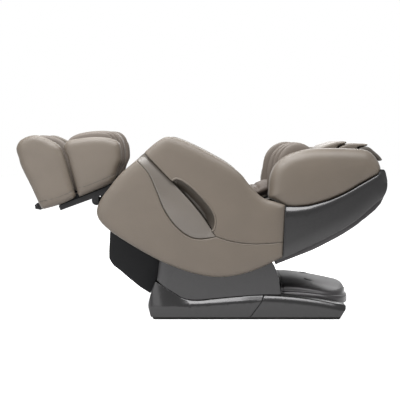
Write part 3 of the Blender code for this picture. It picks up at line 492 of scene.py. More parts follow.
def sheet_of(ring, pitch=0.013, bands=BANDS):
    """Points and triangles that fill a closed line, dense beside it."""
    flat = np.array([tuple(p) for p in ring])
    tangents = np.roll(flat, -1, 0) - np.roll(flat, 1, 0)
    tangents /= np.maximum(np.hypot(tangents[:, 0], tangents[:, 1])[:, None], 1e-9)
    inward = np.stack([-tangents[:, 1], tangents[:, 0]], 1)
    area = 0.5 * np.sum(flat[:, 0] * np.roll(flat[:, 1], -1) - np.roll(flat[:, 0], -1) * flat[:, 1])
    inward *= np.sign(area)
    inner = [flat]
    for i, band in enumerate(bands):
        step = max(1, int(round(band * 0.45 / 0.006)))
        spots = (flat + inward * band)[(i % step)::step]
        keep = within(spots, flat) & (reach(spots, flat, True) > band * 0.93)
        inner.append(spots[keep])
    low, high = flat.min(0), flat.max(0)
    xs = np.arange(low[0], high[0], pitch)
    zs = np.arange(low[1], high[1], pitch * 0.866)
    grid = np.array([(x + (pitch / 2 if j % 2 else 0), z) for j, z in enumerate(zs) for x in xs])
    keep = within(grid, flat) & (reach(grid, flat, True) > bands[-1] + pitch * 0.6)
    inner.append(grid[keep])
    points = np.concatenate(inner)
    border = list(range(len(flat)))
    found = delaunay_2d_cdt([Vector(p) for p in points], [], [border], 1, 1e-6)
    return np.array([tuple(p) for p in found[0]]), found[2]


def loose_object(name, vertices, faces, finish, smooth=True, sharp=None):
    """A mesh object with its normals turned outwards, and edges over an angle kept sharp."""
    mesh = bpy.data.meshes.new(name)
    mesh.from_pydata([tuple(v) for v in vertices], [], [tuple(f) for f in faces])
    bm = bmesh.new()
    bm.from_mesh(mesh)
    bmesh.ops.remove_doubles(bm, verts=bm.verts, dist=1e-6)
    bmesh.ops.recalc_face_normals(bm, faces=bm.faces)
    bm.to_mesh(mesh)
    bm.free()
    for polygon in mesh.polygons:
        polygon.use_smooth = smooth
    if sharp:
        mesh.set_sharp_from_angle(angle=math.radians(sharp))
    mesh.materials.append(FINISHES[finish])
    return linked(name, mesh)


def skin(name, ring, outer, inner, side, finish, pitch=0.013, sharp=40, bands=BANDS):
    """A closed panel that fills a side outline, between two faces.

    outer and inner give the faces' distances from the middle plane, for points and for their
    distances to the outline.
    """
    points, triangles = sheet_of(ring, pitch, bands)
    edge = reach(points, ring, True)
    faces = []
    front = [(p[0], side * y, p[1]) for p, y in zip(points, outer(points, edge))]
    back = [(p[0], side * y, p[1]) for p, y in zip(points, inner(points, edge))]
    count = len(front)
    borders = {}
    for triangle in triangles:
        faces.append(tuple(triangle))
        faces.append(tuple(count + v for v in reversed(triangle)))
        for a, b in zip(triangle, triangle[1:] + triangle[:1]):
            borders[(a, b)] = (b, a) not in borders
            if (b, a) in borders:
                borders[(b, a)] = False
    faces += [(b, a, a + count, b + count) for (a, b), alone in borders.items() if alone]
    return loose_object(name, front + back, faces, finish, sharp=sharp)


# Across one sewn channel: how far along it, and its share of the depth below the crest.
CHANNEL = ((0.0, 1.0), (0.05, 0.62), (0.14, 0.33), (0.30, 0.09), (0.50, 0.0), (0.70, 0.09),
           (0.86, 0.33), (0.95, 0.62), (1.0, 1.0))
CHANNEL_DEPTH = 0.0085
# Each ring of a padded end, nearest the edge first: its size, and its share of the puff.
CAP_RINGS = (0.93, 0.50), (0.82, 0.80), (0.60, 0.96), (0.25, 1.0)
CAP_PUFF = 0.0045


def channelled(name, outline, y_inner, y_outer, insets, side, fan=1):
    """A pad of sewn channels side by side, which follow one side outline.

    There is one channel for each inset, from the inner face to the outer one. An inset is
    how much lower the channel's outline is, and how much shorter at the end named by fan,
    -1 for the foot end and 1 for the head end.
    """
    ring = spaced(curve_through(outline, (), 5), 0.009)
    low_x, high_x = min(p.x for p in ring), max(p.x for p in ring)
    width = (y_outer - y_inner) / len(insets)
    loops = []
    for lobe, (inset, short) in enumerate(insets):
        start = y_inner + lobe * width
        for share, drop in CHANNEL:
            loops.append((start + width * share, inset + CHANNEL_DEPTH * drop, short))
    rings = []
    for y, inset, short in loops:
        loop = drawn_in(ring, inset)
        shares = [(p.x - low_x if fan > 0 else high_x - p.x) / (high_x - low_x) for p in loop]
        rings.append([(p.x - fan * short * share, side * y, p.y)
                      for p, share in zip(loop, shares)])
    capped = [rings[0]], [rings[-1]]
    for turn, cap in zip((-side, side), capped):
        edge = cap[0]
        middle = Vector(sum((Vector(p) for p in edge), Vector())) / len(edge)
        for scale, lift in CAP_RINGS:
            out = Vector((0, turn * CAP_PUFF * lift, 0))
            cap.append([tuple(middle.lerp(Vector(p), scale) + out) for p in edge])
    rings = capped[0][:0:-1] + rings + capped[1][1:]
    count = len(ring)
    faces = lofted(len(rings), count)
    faces.append(tuple(range(count)))
    faces.append(tuple((len(rings) - 1) * count + i for i in range(count)))
    vertices = [p for loop in rings for p in loop]
    return loose_object(name, vertices, faces, "ribbed_leather", sharp=80)


def drawn_in(ring, distance):
    """A closed line moved inwards by a small distance."""
    flat = [Vector(p) for p in ring]
    area = sum(a.cross(b) for a, b in zip(flat, flat[1:] + flat[:1]))
    turn = 1 if area > 0 else -1
    moved = []
    for i, p in enumerate(flat):
        along = (flat[(i + 1) % len(flat)] - flat[i - 1]).normalized()
        moved.append(p + turn * distance * Vector((-along.y, along.x)))
    return moved


def laid_on(line, face, side, lift=0.0):
    """A side line's places on a face that gives the distance from the middle plane."""
    flat = np.array([tuple(p) for p in line])
    return [(p[0], side * (y + lift), p[1]) for p, y in zip(flat, face(flat))]


def level(value):
    """A flat face at one distance from the middle plane."""
    return lambda points, edge: np.full(len(points), value)


def pillowed(out, radius, depth, crown=0.0, reach_in=0.08):
    """A face rounded at its edge, with a slight crown that rises well inside it."""
    return lambda points, edge: (
        out - crown - rounded(edge, radius, depth)
        + crown * (1 - (1 - np.clip(edge / reach_in, 0, 1)) ** 2)
    )


def copy_of(node, name, finish):
    """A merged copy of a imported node, which stands for it."""
    mesh = NODES[node].data.copy()
    mesh.name = name
    bm = bmesh.new()
    bm.from_mesh(mesh)
    bmesh.ops.remove_doubles(bm, verts=bm.verts, dist=2e-5)
    bmesh.ops.dissolve_limit(bm, angle_limit=math.radians(1.0), verts=bm.verts, edges=bm.edges)
    bmesh.ops.recalc_face_normals(bm, faces=bm.faces)
    bm.to_mesh(mesh)
    bm.free()
    mesh.materials.clear()
    mesh.materials.append(FINISHES[finish])
    return linked(name, mesh)


def settle(piece, body, slot, *nodes):
    """Says which body a piece moves with, and the nodes that it stands for. Its slot is not used.
    """
    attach(piece, body)
    for node in nodes:
        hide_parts(node)


def refined(node, width, degrees):
    """A hard node with its edges bevelled, in its own finish, standing for the node."""
    slot = SLOT_OF[node]
    piece = copy_of(node, node + "_eased", slot)
    for polygon in piece.data.polygons:
        polygon.use_smooth = True
    piece.data.set_sharp_from_angle(angle=math.radians(degrees))
    bevel = piece.modifiers.new("edges", "BEVEL")
    bevel.width = width
    bevel.segments = 2
    bevel.limit_method = "ANGLE"
    bevel.angle_limit = math.radians(degrees)
    bevel.harden_normals = True
    settle(piece, BODY_OF[node], slot, node)


def applied(obj):
    """The object with its modifiers made real."""
    bpy.context.view_layer.update()
    graph = bpy.context.evaluated_depsgraph_get()
    mesh = bpy.data.meshes.new_from_object(obj.evaluated_get(graph))
    obj.modifiers.clear()
    obj.data = mesh
    return obj


def mirrored(obj, name):
    """The same piece on the other side of the chair."""
    mesh = obj.data.copy()
    bm = bmesh.new()
    bm.from_mesh(mesh)
    for vertex in bm.verts:
        vertex.co.y *= -1
    bmesh.ops.reverse_faces(bm, faces=bm.faces)
    bm.to_mesh(mesh)
    bm.free()
    return linked(name, mesh)


# ---------------------------------------------------------------- stuffed pads
PAD_SHRINK = 0.003  # how far a pad's cover is cut inside its node, before it is filled
FILLING_FRAMES = 20


def stuffed(node, sizes, finish, voxel):
    """A pad sewn to its node's form, then filled by a cloth simulation and subdivided."""
    pad = copy_of(node, f"{node}_stuffed", finish)
    remesh = pad.modifiers.new("even", "REMESH")
    remesh.mode = "VOXEL"
    remesh.voxel_size = voxel
    applied(pad)
    pad.data.materials.clear()
    pad.data.materials.append(FINISHES[finish])
    start = vertex_array(pad.data) - vertex_array(pad.data, "normal") * PAD_SHRINK
    move_vertices(pad.data, start)
    start = vertex_array(pad.data)
    cloth = pad.modifiers.new("filling", "CLOTH")
    cloth.settings.use_pressure = True
    cloth.settings.uniform_pressure_force = sizes.pad_pressure
    cloth.settings.effector_weights.gravity = 0
    cloth.settings.quality = 4
    cloth.point_cache.frame_end = FILLING_FRAMES
    scene = bpy.context.scene
    for step in range(1, FILLING_FRAMES + 1):
        scene.frame_set(step)
    graph = bpy.context.evaluated_depsgraph_get()
    filled = vertex_array(pad.evaluated_get(graph).data)
    pad.modifiers.remove(cloth)
    scene.frame_set(1)
    move = filled - start
    length = np.linalg.norm(move, axis=1)[:, None]
    move *= np.minimum(1.0, sizes.pad_swell / np.maximum(length, 1e-9))
    move_vertices(pad.data, start + move)
    for polygon in pad.data.polygons:
        polygon.use_smooth = True
    finer = pad.modifiers.new("finer", "SUBSURF")
    finer.levels = finer.render_levels = 1
    return applied(pad)


def vertex_array(mesh, field="co"):
    flat = np.empty(len(mesh.vertices) * 3)
    mesh.vertices.foreach_get(field, flat)
    return flat.reshape(-1, 3)


def move_vertices(mesh, places):
    mesh.vertices.foreach_set("co", places.reshape(-1))
    mesh.update()


# ---------------------------------------------------------------- side outlines
def points_mm(*numbers):
    """Points in metres from x, z, x, z and so on in millimetres."""
    return [(x / 1000, z / 1000) for x, z in zip(numbers[::2], numbers[1::2])]


ARM_OUT, ARM_SKIN_IN = 0.388, 0.3642
ARM = points_mm(
    -159, 903, -193, 889, -241, 853, -309, 790, -387, 723, -435, 664, -484, 597, -504, 538,
    -485, 487, -408, 421, -243, 321, -146, 274, -49, 239, 25, 222, 98, 215, 195, 227, 293, 259,
    404, 313, 410, 450, 416, 570, 363, 588, 325, 598, 291, 618, 242, 669, 198, 723, 145, 764,
    48, 819, -48, 867, -120, 896)
ARM_CORNERS = (17, 19)
ARM_UNDER = points_mm(
    -440, 600, -420, 560, -300, 500, -150, 462, 0, 455, 120, 462, 190, 488, 215, 540, 217, 620,
    213, 690)
ARM_WALL_REAR = 24  # the first outline point, from the rear, that the inner wall reaches
LEAF_TOP, LEAF_TIP = (-0.270, 0.824), (0.078, 0.417)
LEAF_LOW = points_mm(
    -309, 790, -251, 727, -213, 645, -175, 548, -117, 465, -49, 414, 10, 404) + [LEAF_TIP]
LEAF_HIGH = [LEAF_TIP, *points_mm(0, 531, -116, 664), LEAF_TOP]
SEAM_BACK = [LEAF_TIP, *points_mm(145, 396, 217, 384, 290, 381, 407.5, 388)]
POCKET = points_mm(
    -136, 690.5, -118, 701, -90, 694, -45, 664, 0, 621, 40, 575, 68, 530, 76, 490, 66, 449,
    59, 446)
SHOULDER = points_mm(
    341, 604, 341, 645, 345, 692, 355, 731, 374, 765, 403, 793, 437, 814, 476, 828, 524, 840,
    582, 845, 704, 845, 806, 839, 839, 825, 863, 800, 880, 768, 884, 735, 862, 722, 827, 702,
    779, 674, 731, 645, 682, 621, 634, 601, 585, 586, 536, 574, 488, 569, 439, 569, 405, 574,
    366, 588)
SIDE_COVER = points_mm(
    417.2, 562.5, 488, 562, 537, 567, 585, 579, 634, 593, 682, 613, 731, 637, 779, 666,
    827, 693, 868, 717, 879, 744, 899, 741, 910, 712, 917, 678, 914, 640, 897, 606, 874, 587,
    829, 549, 781, 505, 733, 471, 684, 442, 587, 391, 490, 341, 412, 305.5, 350, 288, 310, 350,
    290, 480, 300, 560)
CALF = points_mm(
    -678, 842, -672, 869, -654, 884, -619, 891, -569, 898, -520, 902, -470, 899, -436, 891,
    -406, 876, -396, 856, -392, 827, -392, 787, -402, 762, -412, 738, -422, 698, -439, 672,
    -520, 636, -602, 603, -612, 620, -634, 705, -661, 800)
FOOT_SIDE = points_mm(
    -910, 862, -893, 885, -856, 904, -815, 910, -782, 902, -743, 884, -713, 868, -696, 852,
    -686, 830, -674, 800, -646, 698, -622, 608, -632, 595, -707, 562, -784, 540, -796, 548,
    -845, 655, -893, 757, -904, 797, -915, 837)
SKID_FRONT = points_mm(
    -222, 188, -237, 149, -248, 115, -257, 69, -252, 35, -245, 12, 246, 12, 306, 94, 315, 121,
    246, 118, 148, 110, 49, 101, 0, 96, -49, 97, -89, 107, -123, 128, -172, 158)
SKID_REAR = points_mm(
    247.5, 12, 697, 12, 712, 34, 724, 52, 722, 68, 666, 81, 592, 95, 493, 109, 394, 118,
    316.5, 120.5, 307.5, 94)
COLUMN = points_mm(
    -214, 188.5, -208, 240, -200, 300, -165, 360, -110, 405, -48, 425, 20, 410, 100, 385,
    200, 365, 280, 345, 340, 300, 366, 270, 380, 235, 392, 190, 402, 119, 315, 121.5,
    246, 118.5, 148, 110.5, 49, 101.5, 0, 96.5, -49, 97.5, -89, 107.5, -123, 128.5, -172, 158.5)
WING = points_mm(
    343, 640, 342, 700, 348, 760, 362, 808, 392, 846, 430, 868, 470, 875, 508, 871, 540, 857,
    566, 832, 577, 790, 560, 740, 500, 680, 430, 632, 370, 615)
CALF_TALL = points_mm(
    -672, 850, -664, 887, -630, 911, -585, 924, -530, 931, -480, 932, -440, 926, -412, 903,
    -396, 864, -391, 820, -393, 775, -412, 735, -428, 700, -455, 688, -520, 662, -595, 632,
    -615, 650, -636, 720, -657, 800)
FOOT_MIDDLE = points_mm(
    -874, 850, -872, 888, -852, 909, -815, 912.5, -781, 907, -750, 897, -724, 882, -702, 858,
    -690, 825, -676, 785, -655, 700, -636, 632, -650, 617, -700, 595, -752, 582, -775, 620,
    -822, 730, -852, 795)
SHELL_LIP = points_mm(
    400, 314, 490, 353, 587, 403, 684, 454, 733, 483, 781, 517, 829, 562, 872, 604, 893, 625,
    897, 602, 887, 578, 842, 536, 792, 486, 771, 468, 700, 421, 629, 382, 558, 346, 486, 317,
    415, 289, 390, 279.5, 372.5, 273.5, 373.5, 288)
FOOT_SKIRT = points_mm(-802, 578, -760, 588, -700, 604, -640, 630)
CALF_SKIRT = points_mm(-636, 643, -580, 654, -500, 684, -425, 716)


# ---------------------------------------------------------------- layers and creases
# Distances of the outer and inner faces from the middle plane.
POD_OUT, POD_IN = 0.358, 0.246
WING_IN, WING_OUT = 0.166, 0.2445
BOLSTER_IN, BOLSTER_OUT = 0.176, 0.2345
DIVIDER_HALF = 0.040
LEG_OUT, LEG_POD_IN = 0.278, 0.236
SIDE_COVER_OUT, SIDE_COVER_IN = 0.3625, 0.3345
COLUMN_OUT, COLUMN_IN = 0.3335, 0.2924
SKID_OUT, SKID_IN = 0.352, 0.262

# The front skid's crease, and the upper edges of the front and rear skids.
FRONT_CREASE = points_mm(-262, 60, -107, 71.5, 0, 74.5, 97, 81, 195, 88, 330, 94)
FRONT_TOP = points_mm(
    -222, 188, -172, 158, -123, 128, -89, 107, -49, 97, 0, 96, 49, 101, 148, 110, 246, 118,
    315, 121.5)
REAR_TOP = points_mm(307.5, 120.5, 394, 118, 493, 109, 592, 95, 666, 81, 722, 68)


def white_rays(tree):
    """1 for the rays that see the background: from the camera, a mirror or glass."""
    rays = tree.nodes.new("ShaderNodeLightPath").outputs
    seen = rays["Is Camera Ray"]
    for name in ("Is Glossy Ray", "Is Transmission Ray"):
        seen = new_node(tree, "ShaderNodeMath", {"operation": "MAXIMUM"},
                        {0: seen, 1: rays[name]})
    return seen


class CHAIR_OT_stage(bpy.types.Operator):
    """Sets out the pale floor, the soft lamps and the camera"""

    bl_idname = "chair.stage"
    bl_label = "Studio"

    CAMERA_PLACE = (0.0, -4.385, 0.898)
    CAMERA_PITCH = math.radians(-4.31)
    FOCAL_PIXELS, FRAME_PIXELS, SENSOR = 828.0, 400.0, 36.0
    FLOOR_HALF = 14.0
    FLOOR_BOUNCE, FLOOR_SEEN = (0.27, 0.235, 0.20, 1), (0.86, 0.86, 0.86, 1)

    def execute(self, context):
        scene = context.scene
        scene.view_settings.view_transform = "Standard"
        camera = bpy.data.cameras.new("camera")
        camera.sensor_width = self.SENSOR
        camera.lens = self.FOCAL_PIXELS / self.FRAME_PIXELS * self.SENSOR
        camera.clip_end = 60
        scene.camera = linked("camera", camera)
        scene.camera.location = self.CAMERA_PLACE
        scene.camera.rotation_euler = (math.pi / 2 + self.CAMERA_PITCH, 0, 0)
        self.light_world(scene)
        self.lay_floor()
        for name, place, target, size, power in (
            ("key", (-0.4, -2.2, 3.5), (-0.4, 0.0, 0.50), (4.8, 0.9), 235),
            ("side", (-1.30, -2.40, 0.95), (-0.1, -0.3, 0.50), (1.6, 1.6), 21),
            ("top", (-0.6, 0.2, 3.4), (0.0, 0.0, 0.40), (2.6, 1.6), 110),
            ("rim", (1.2, 3.0, 2.4), (0.2, 0.0, 0.50), (2.4, 1.2), 40),
        ):
            self.add_lamp(name, place, target, size, power)
        return {"FINISHED"}

    def add_lamp(self, name, place, target, size, power):
        lamp = bpy.data.lights.new(name, "AREA")
        lamp.shape = "RECTANGLE"
        lamp.size, lamp.size_y = size
        lamp.energy = power
        lamp_object = linked(name, lamp)
        lamp_object.location = place
        aim = Vector(target) - Vector(place)
        lamp_object.rotation_euler = aim.to_track_quat("-Z", "Y").to_euler()

    def light_world(self, scene):
        """A dim sky that lights the chair, behind a white that only the seeing rays meet."""
        world = bpy.data.worlds.new("studio")
        scene.world = world
        world.use_nodes = True
        tree = world.node_tree
        light = tree.nodes["Background"]
        light.inputs["Color"].default_value = (0.93, 0.96, 1.0, 1)
        light.inputs["Strength"].default_value = 0.11
        shown = new_node(tree, "ShaderNodeBackground", None,
                         {"Color": (1, 1, 1, 1), "Strength": 1.0})
        mix = new_node(tree, "ShaderNodeMixShader", None,
                       {"Fac": white_rays(tree), 1: light.outputs[0], 2: shown})
        tree.links.new(mix, tree.nodes["World Output"].inputs["Surface"])

    def lay_floor(self):
        """A pale floor that keeps the chair's shadow and otherwise shows white."""
        floor = bpy.data.materials.new("floor")
        floor.use_nodes = True
        tree = floor.node_tree
        paper = tree.nodes["Principled BSDF"]
        shade = new_node(tree, "ShaderNodeMix", {"data_type": "RGBA"},
                         {0: white_rays(tree), 6: self.FLOOR_BOUNCE, 7: self.FLOOR_SEEN}, 2)
        tree.links.new(shade, paper.inputs["Base Color"])
        paper.inputs["Roughness"].default_value = 0.9
        paper.inputs["Specular IOR Level"].default_value = 0.1
        white = new_node(tree, "ShaderNodeEmission", None, {"Strength": 0.98})
        add = new_node(tree, "ShaderNodeAddShader", None, {0: paper.outputs[0], 1: white})
        mix = new_node(tree, "ShaderNodeMixShader", None,
                       {"Fac": white_rays(tree), 1: paper.outputs[0], 2: add})
        tree.links.new(mix, tree.nodes["Material Output"].inputs["Surface"])
        mesh = bpy.data.meshes.new("floor")
        far = self.FLOOR_HALF
        mesh.from_pydata([(-far, -far, 0), (far, -far, 0), (far, far, 0), (-far, far, 0)],
                         [], [(0, 1, 2, 3)])
        mesh.materials.append(floor)
        linked("floor", mesh)


class CHAIR_OT_finishes(bpy.types.Operator):
    """Makes the leather, paint, plastic and metal of the chair"""

    bl_idname = "chair.finishes"
    bl_label = "Finishes"

    def execute(self, context):
        build_finishes(context.scene.chair_colours)
        return {"FINISHED"}


# ---------------------------------------------------------------- arms
def nearest_index(line, point):
    return min(range(len(line)), key=lambda i: (line[i] - Vector(point)).length)


def part_of(line, start, end):
    """The part of a closed line from one place to another, in its own order."""
    a, b = nearest_index(line, start), nearest_index(line, end)
    return line[a:b + 1] if a <= b else line[a:] + line[:b + 1]


UNDER_TOP, RIM_FOOT = 0.30, 0.65  # heights where the arm's underside ends and its rim begins
RIM_FALL, RIM_REACH = 0.0035, 0.16  # how far the face falls away at the rim, and from how far in
UNDER_FALL, UNDER_REACH = 0.0125, 0.21
RIM_DEPTH, UNDER_DEPTH = 0.0205, 0.0100


def arm_face(outline, round_in):
    """The arm's outer face: a wide rounding at its rim, a narrower one underneath."""
    def outer(points):
        rim = reach(points, outline, True)
        high = eased(np.clip((points[:, 1] - UNDER_TOP) / (RIM_FOOT - UNDER_TOP), 0, 1))
        swell = (RIM_FALL * high * (1 - np.clip(rim / RIM_REACH, 0, 1)) ** 2
                 + UNDER_FALL * (1 - high) * (1 - np.clip(rim / UNDER_REACH, 0, 1)) ** 2)
        return (ARM_OUT - rounded(rim, round_in * (0.40 + 0.60 * high),
                                  UNDER_DEPTH + (RIM_DEPTH - UNDER_DEPTH) * high) - swell)
    return outer


class CHAIR_OT_arms(bpy.types.Operator):
    """Upholsters the two arms: lower and upper skins, the leaf between them and the grip"""

    bl_idname = "chair.arms"
    bl_label = "Arms"

    TWIST_LOW, TWIST_HIGH = 0.500, 0.680  # heights between which the leaf turns over
    SEAM_SHARE = 0.13  # of the seam's width, how far each piece stops short of its line
    SKIN_LEAST = ARM_SKIN_IN + 0.001
    BOWL_FLOOR = ((0.052, 0.4600), (0.000, 0.5360), (-0.080, 0.6290))
    BOWL_RIM, BOWL_DEPTH, BOWL_REACH = 0.3835, 0.0420, 0.042
    BEAD_RADIUS, BEAD_SINK = 0.0056, 0.0015
    WALL_OUT, WALL_IN = 0.3630, 0.286
    WALL_BESIDE_BOWL, BOWL_MARGIN = 0.3255, 0.020

    def execute(self, context):
        sizes = context.scene.chair_sizes
        outline = curve_through(ARM, ARM_CORNERS, 6)
        low = open_curve(LEAF_LOW)
        high = open_curve(LEAF_HIGH, 6)
        back = open_curve(SEAM_BACK)
        pocket = open_curve(POCKET, 4)
        lower = part_of(outline, LEAF_LOW[0], SEAM_BACK[-1])[1:-1] + back[::-1] + low[::-1]
        split = [p for p in high if p.x > POCKET[-1][0]], [p for p in high if p.x < POCKET[0][0]]
        upper = (part_of(outline, SEAM_BACK[-1], LEAF_TOP)[1:-1] + [Vector(LEAF_TOP)]
                 + split[1][::-1][1:] + pocket + split[0][::-1] + back[1:])
        leaf = low + high[1:] + part_of(outline, LEAF_TOP, LEAF_LOW[0])[1:-1]
        face = arm_face(outline, sizes.arm_round)
        sewn = self.sewn_face(face, sizes.seam_width)
        leaf_face = self.leaf_face(face, low, high, sizes.seam_width)
        for name, side in SIDES:
            for part, line, part_face, finish, pitch, node in (
                ("lower", lower, sewn, "taupe_leather", 0.013, "arm_panel"),
                ("upper", upper, sewn, "taupe_leather", 0.013, "arm_panel"),
                # the leaf's lighter leather is a painted highlight
                ("leaf", leaf, leaf_face, "leaf_highlight_leather", 0.010, "arm_insert"),
            ):
                gap = sizes.seam_width * self.SEAM_SHARE
                ring = spaced(drawn_in(spaced(line, 0.007), gap), 0.007)
                piece = skin(f"arm_{part}_{name}", ring, part_face, level(ARM_SKIN_IN), side,
                             finish, pitch)
                settle(piece, "seat", "taupe_leather", f"{node}_{name}")
            self.grip(name, side, pocket, face)
            self.wall(name, side, pocket)
        return {"FINISHED"}

    def sewn_face(self, face, seam):
        """The face with its edges turned in at the seams."""
        return lambda points, edge: np.maximum(face(points) - rounded(edge, seam, 0.0035),
                                               self.SKIN_LEAST)

    def leaf_face(self, face, low, high, seam):
        """The leaf sinks towards its upper line, and lower down turns under towards its tip."""
        def outer(points, edge):
            to_low, to_high = reach(points, low), reach(points, high)
            share = to_low / np.maximum(to_low + to_high, 1e-6)
            width = to_low + to_high
            turned = eased(np.clip((points[:, 1] - self.TWIST_LOW)
                                   / (self.TWIST_HIGH - self.TWIST_LOW), 0, 1))
            sink = (np.minimum(0.40 * width, 0.0195) * share ** 1.3 * turned
                    + np.minimum(0.30 * width, 0.0150)
                    * (0.55 * share ** 1.5 + 0.75 * (1 - share) ** 1.6) * (1 - turned))
            return np.maximum(face(points) - sink - rounded(edge, seam, 0.003),
                              self.SKIN_LEAST)
        return outer

    def grip(self, name, side, pocket, face):
        """The hollow grip: a padded bowl and the bead that runs round its mouth."""
        bowl = pocket + [Vector(p) for p in self.BOWL_FLOOR]

        def outer(points, edge):
            fall = np.clip(reach(points, pocket) / self.BOWL_REACH, 0, 1)
            return self.BOWL_RIM - self.BOWL_DEPTH * fall ** 0.8 - rounded(edge, 0.003, 0.002)

        ring = spaced(drawn_in(spaced(bowl, 0.006), 0.0012), 0.006)
        # the bowl's darker leather is painted shade inside the hollow
        settle(skin(f"grip_bowl_{name}", ring, outer, level(0.3270), side, "pocket_shade_leather",
                    0.008, 60), "seat", "pad_leather", f"grip_pocket_{name}")
        bead = laid_on(spaced(pocket, 0.010, closed=False), face, side, -self.BEAD_SINK)
        settle(tube(f"grip_bead_{name}", bead, self.BEAD_RADIUS, "piping", 10), "seat",
               "taupe_leather")

    def wall(self, name, side, pocket):
        """The padded inner wall of the arm, which is sewn to the outer skins along its crest."""
        crest = [Vector(p) for p in ARM[ARM_WALL_REAR:] + ARM[:6]]
        ring = spaced(drawn_in(curve_through(crest + [Vector(p) for p in ARM_UNDER], (), 4),
                               0.0025), 0.007)
        mouth = pocket + [pocket[0]]

        def outer(points, edge):
            beside = within(points, mouth) | (reach(points, mouth, True) < self.BOWL_MARGIN)
            return np.where(beside, self.WALL_BESIDE_BOWL,
                            self.WALL_OUT - rounded(edge, 0.004, 0.003))

        def inner(points, edge):
            return self.WALL_IN + rounded(edge, 0.042, 0.036)

        piece = skin(f"arm_wall_{name}", ring, outer, inner, side, "taupe_leather")
        settle(piece, "seat", "taupe_leather", f"arm_box_{name}")


def tube(name, points, radius, finish, sides):
    """A round tube along a line of points, its ends closed."""
    curve = bpy.data.curves.new(name, "CURVE")
    curve.dimensions = "3D"
    curve.bevel_depth = radius
    curve.bevel_resolution = max(1, sides // 4)
    curve.use_fill_caps = True
    spline = curve.splines.new("POLY")
    spline.points.add(len(points) - 1)
    for spot, place in zip(spline.points, points):
        spot.co = (*place, 1)
    spline.use_smooth = True
    drawn = linked(name + "_line", curve)
    bpy.context.view_layer.update()
    mesh = bpy.data.meshes.new_from_object(
        drawn.evaluated_get(bpy.context.evaluated_depsgraph_get()))
    bpy.data.objects.remove(drawn, do_unlink=True)
    mesh.name = name
    mesh.materials.clear()
    mesh.materials.append(FINISHES[finish])
    for polygon in mesh.polygons:
        polygon.use_smooth = True
    return linked(name, mesh)


# ---------------------------------------------------------------- side pods
SEAM_DEPTH, SEAM_HALF = 0.0022, 0.0040


def leg_pod_face(radius, skirt):
    """A pod's crowned face, with the seam of the skirt that closes its lower edge."""
    crowned = pillowed(LEG_OUT, radius, 0.022, 0.006, 0.11)
    line = open_curve(skirt, 6)

    def outer(points, edge):
        groove = np.exp(-((reach(points, line) / SEAM_HALF) ** 2))
        return crowned(points, edge) - SEAM_DEPTH * groove
    return outer


class CHAIR_OT_pods(bpy.types.Operator):
    """Makes the padded pods beside the feet, the calves and the shoulders"""

    bl_idname = "chair.pods"
    bl_label = "Side pods"

    TUCK = 0.0130  # how far the shoulder pod goes down behind the side cover

    def execute(self, context):
        sizes = context.scene.chair_sizes
        wide = sizes.pod_round
        for kind, outline, corners, outer, inner_y, body in (
            ("foot_pod", FOOT_SIDE, (11, 14), leg_pod_face(wide, FOOT_SKIRT), LEG_POD_IN, "foot"),
            ("calf_pod", CALF, (15, 17), leg_pod_face(wide, CALF_SKIRT), LEG_POD_IN, "leg"),
            ("shoulder_pod", SHOULDER, (), self.shoulder_face(wide * 1.5), POD_IN, "back"),
        ):
            ring = spaced(curve_through(outline, corners, 6), 0.006)
            if kind == "shoulder_pod":
                ring = self.tucked(ring)
            inner = self.back_of(inner_y)
            for name, side in SIDES:
                pod = skin(f"{kind}_{name}_cover", ring, outer, inner, side, "taupe_leather",
                           0.009, 75)
                settle(pod, body, "taupe_leather", f"{kind}_{name}")
        return {"FINISHED"}

    def shoulder_face(self, radius):
        """Crowned all over, but tight against the side cover along its lower edge."""
        free = pillowed(POD_OUT, radius, 0.034, 0.014, 0.12)
        tight = pillowed(POD_OUT - 0.001, 0.018, 0.022, 0.013, 0.10)
        line = open_curve(SIDE_COVER[:10], 4)

        def outer(points, edge):
            near = eased(np.clip(1.25 - reach(points, line) / 0.085, 0, 1))
            return free(points, edge) * (1 - near) + tight(points, edge) * near
        return outer

    def tucked(self, ring):
        """The shoulder pod's outline, its lower edge let down behind the side cover."""
        line = open_curve(SIDE_COVER[:10], 4)
        near = reach(np.array([tuple(p) for p in ring]), line)
        return [p - Vector((0, self.TUCK)) * max(0.0, 1 - d / 0.04) for p, d in zip(ring, near)]

    def back_of(self, y):
        """The inner face, with a narrow rounding."""
        return lambda points, edge: y + rounded(edge, 0.010, 0.008)


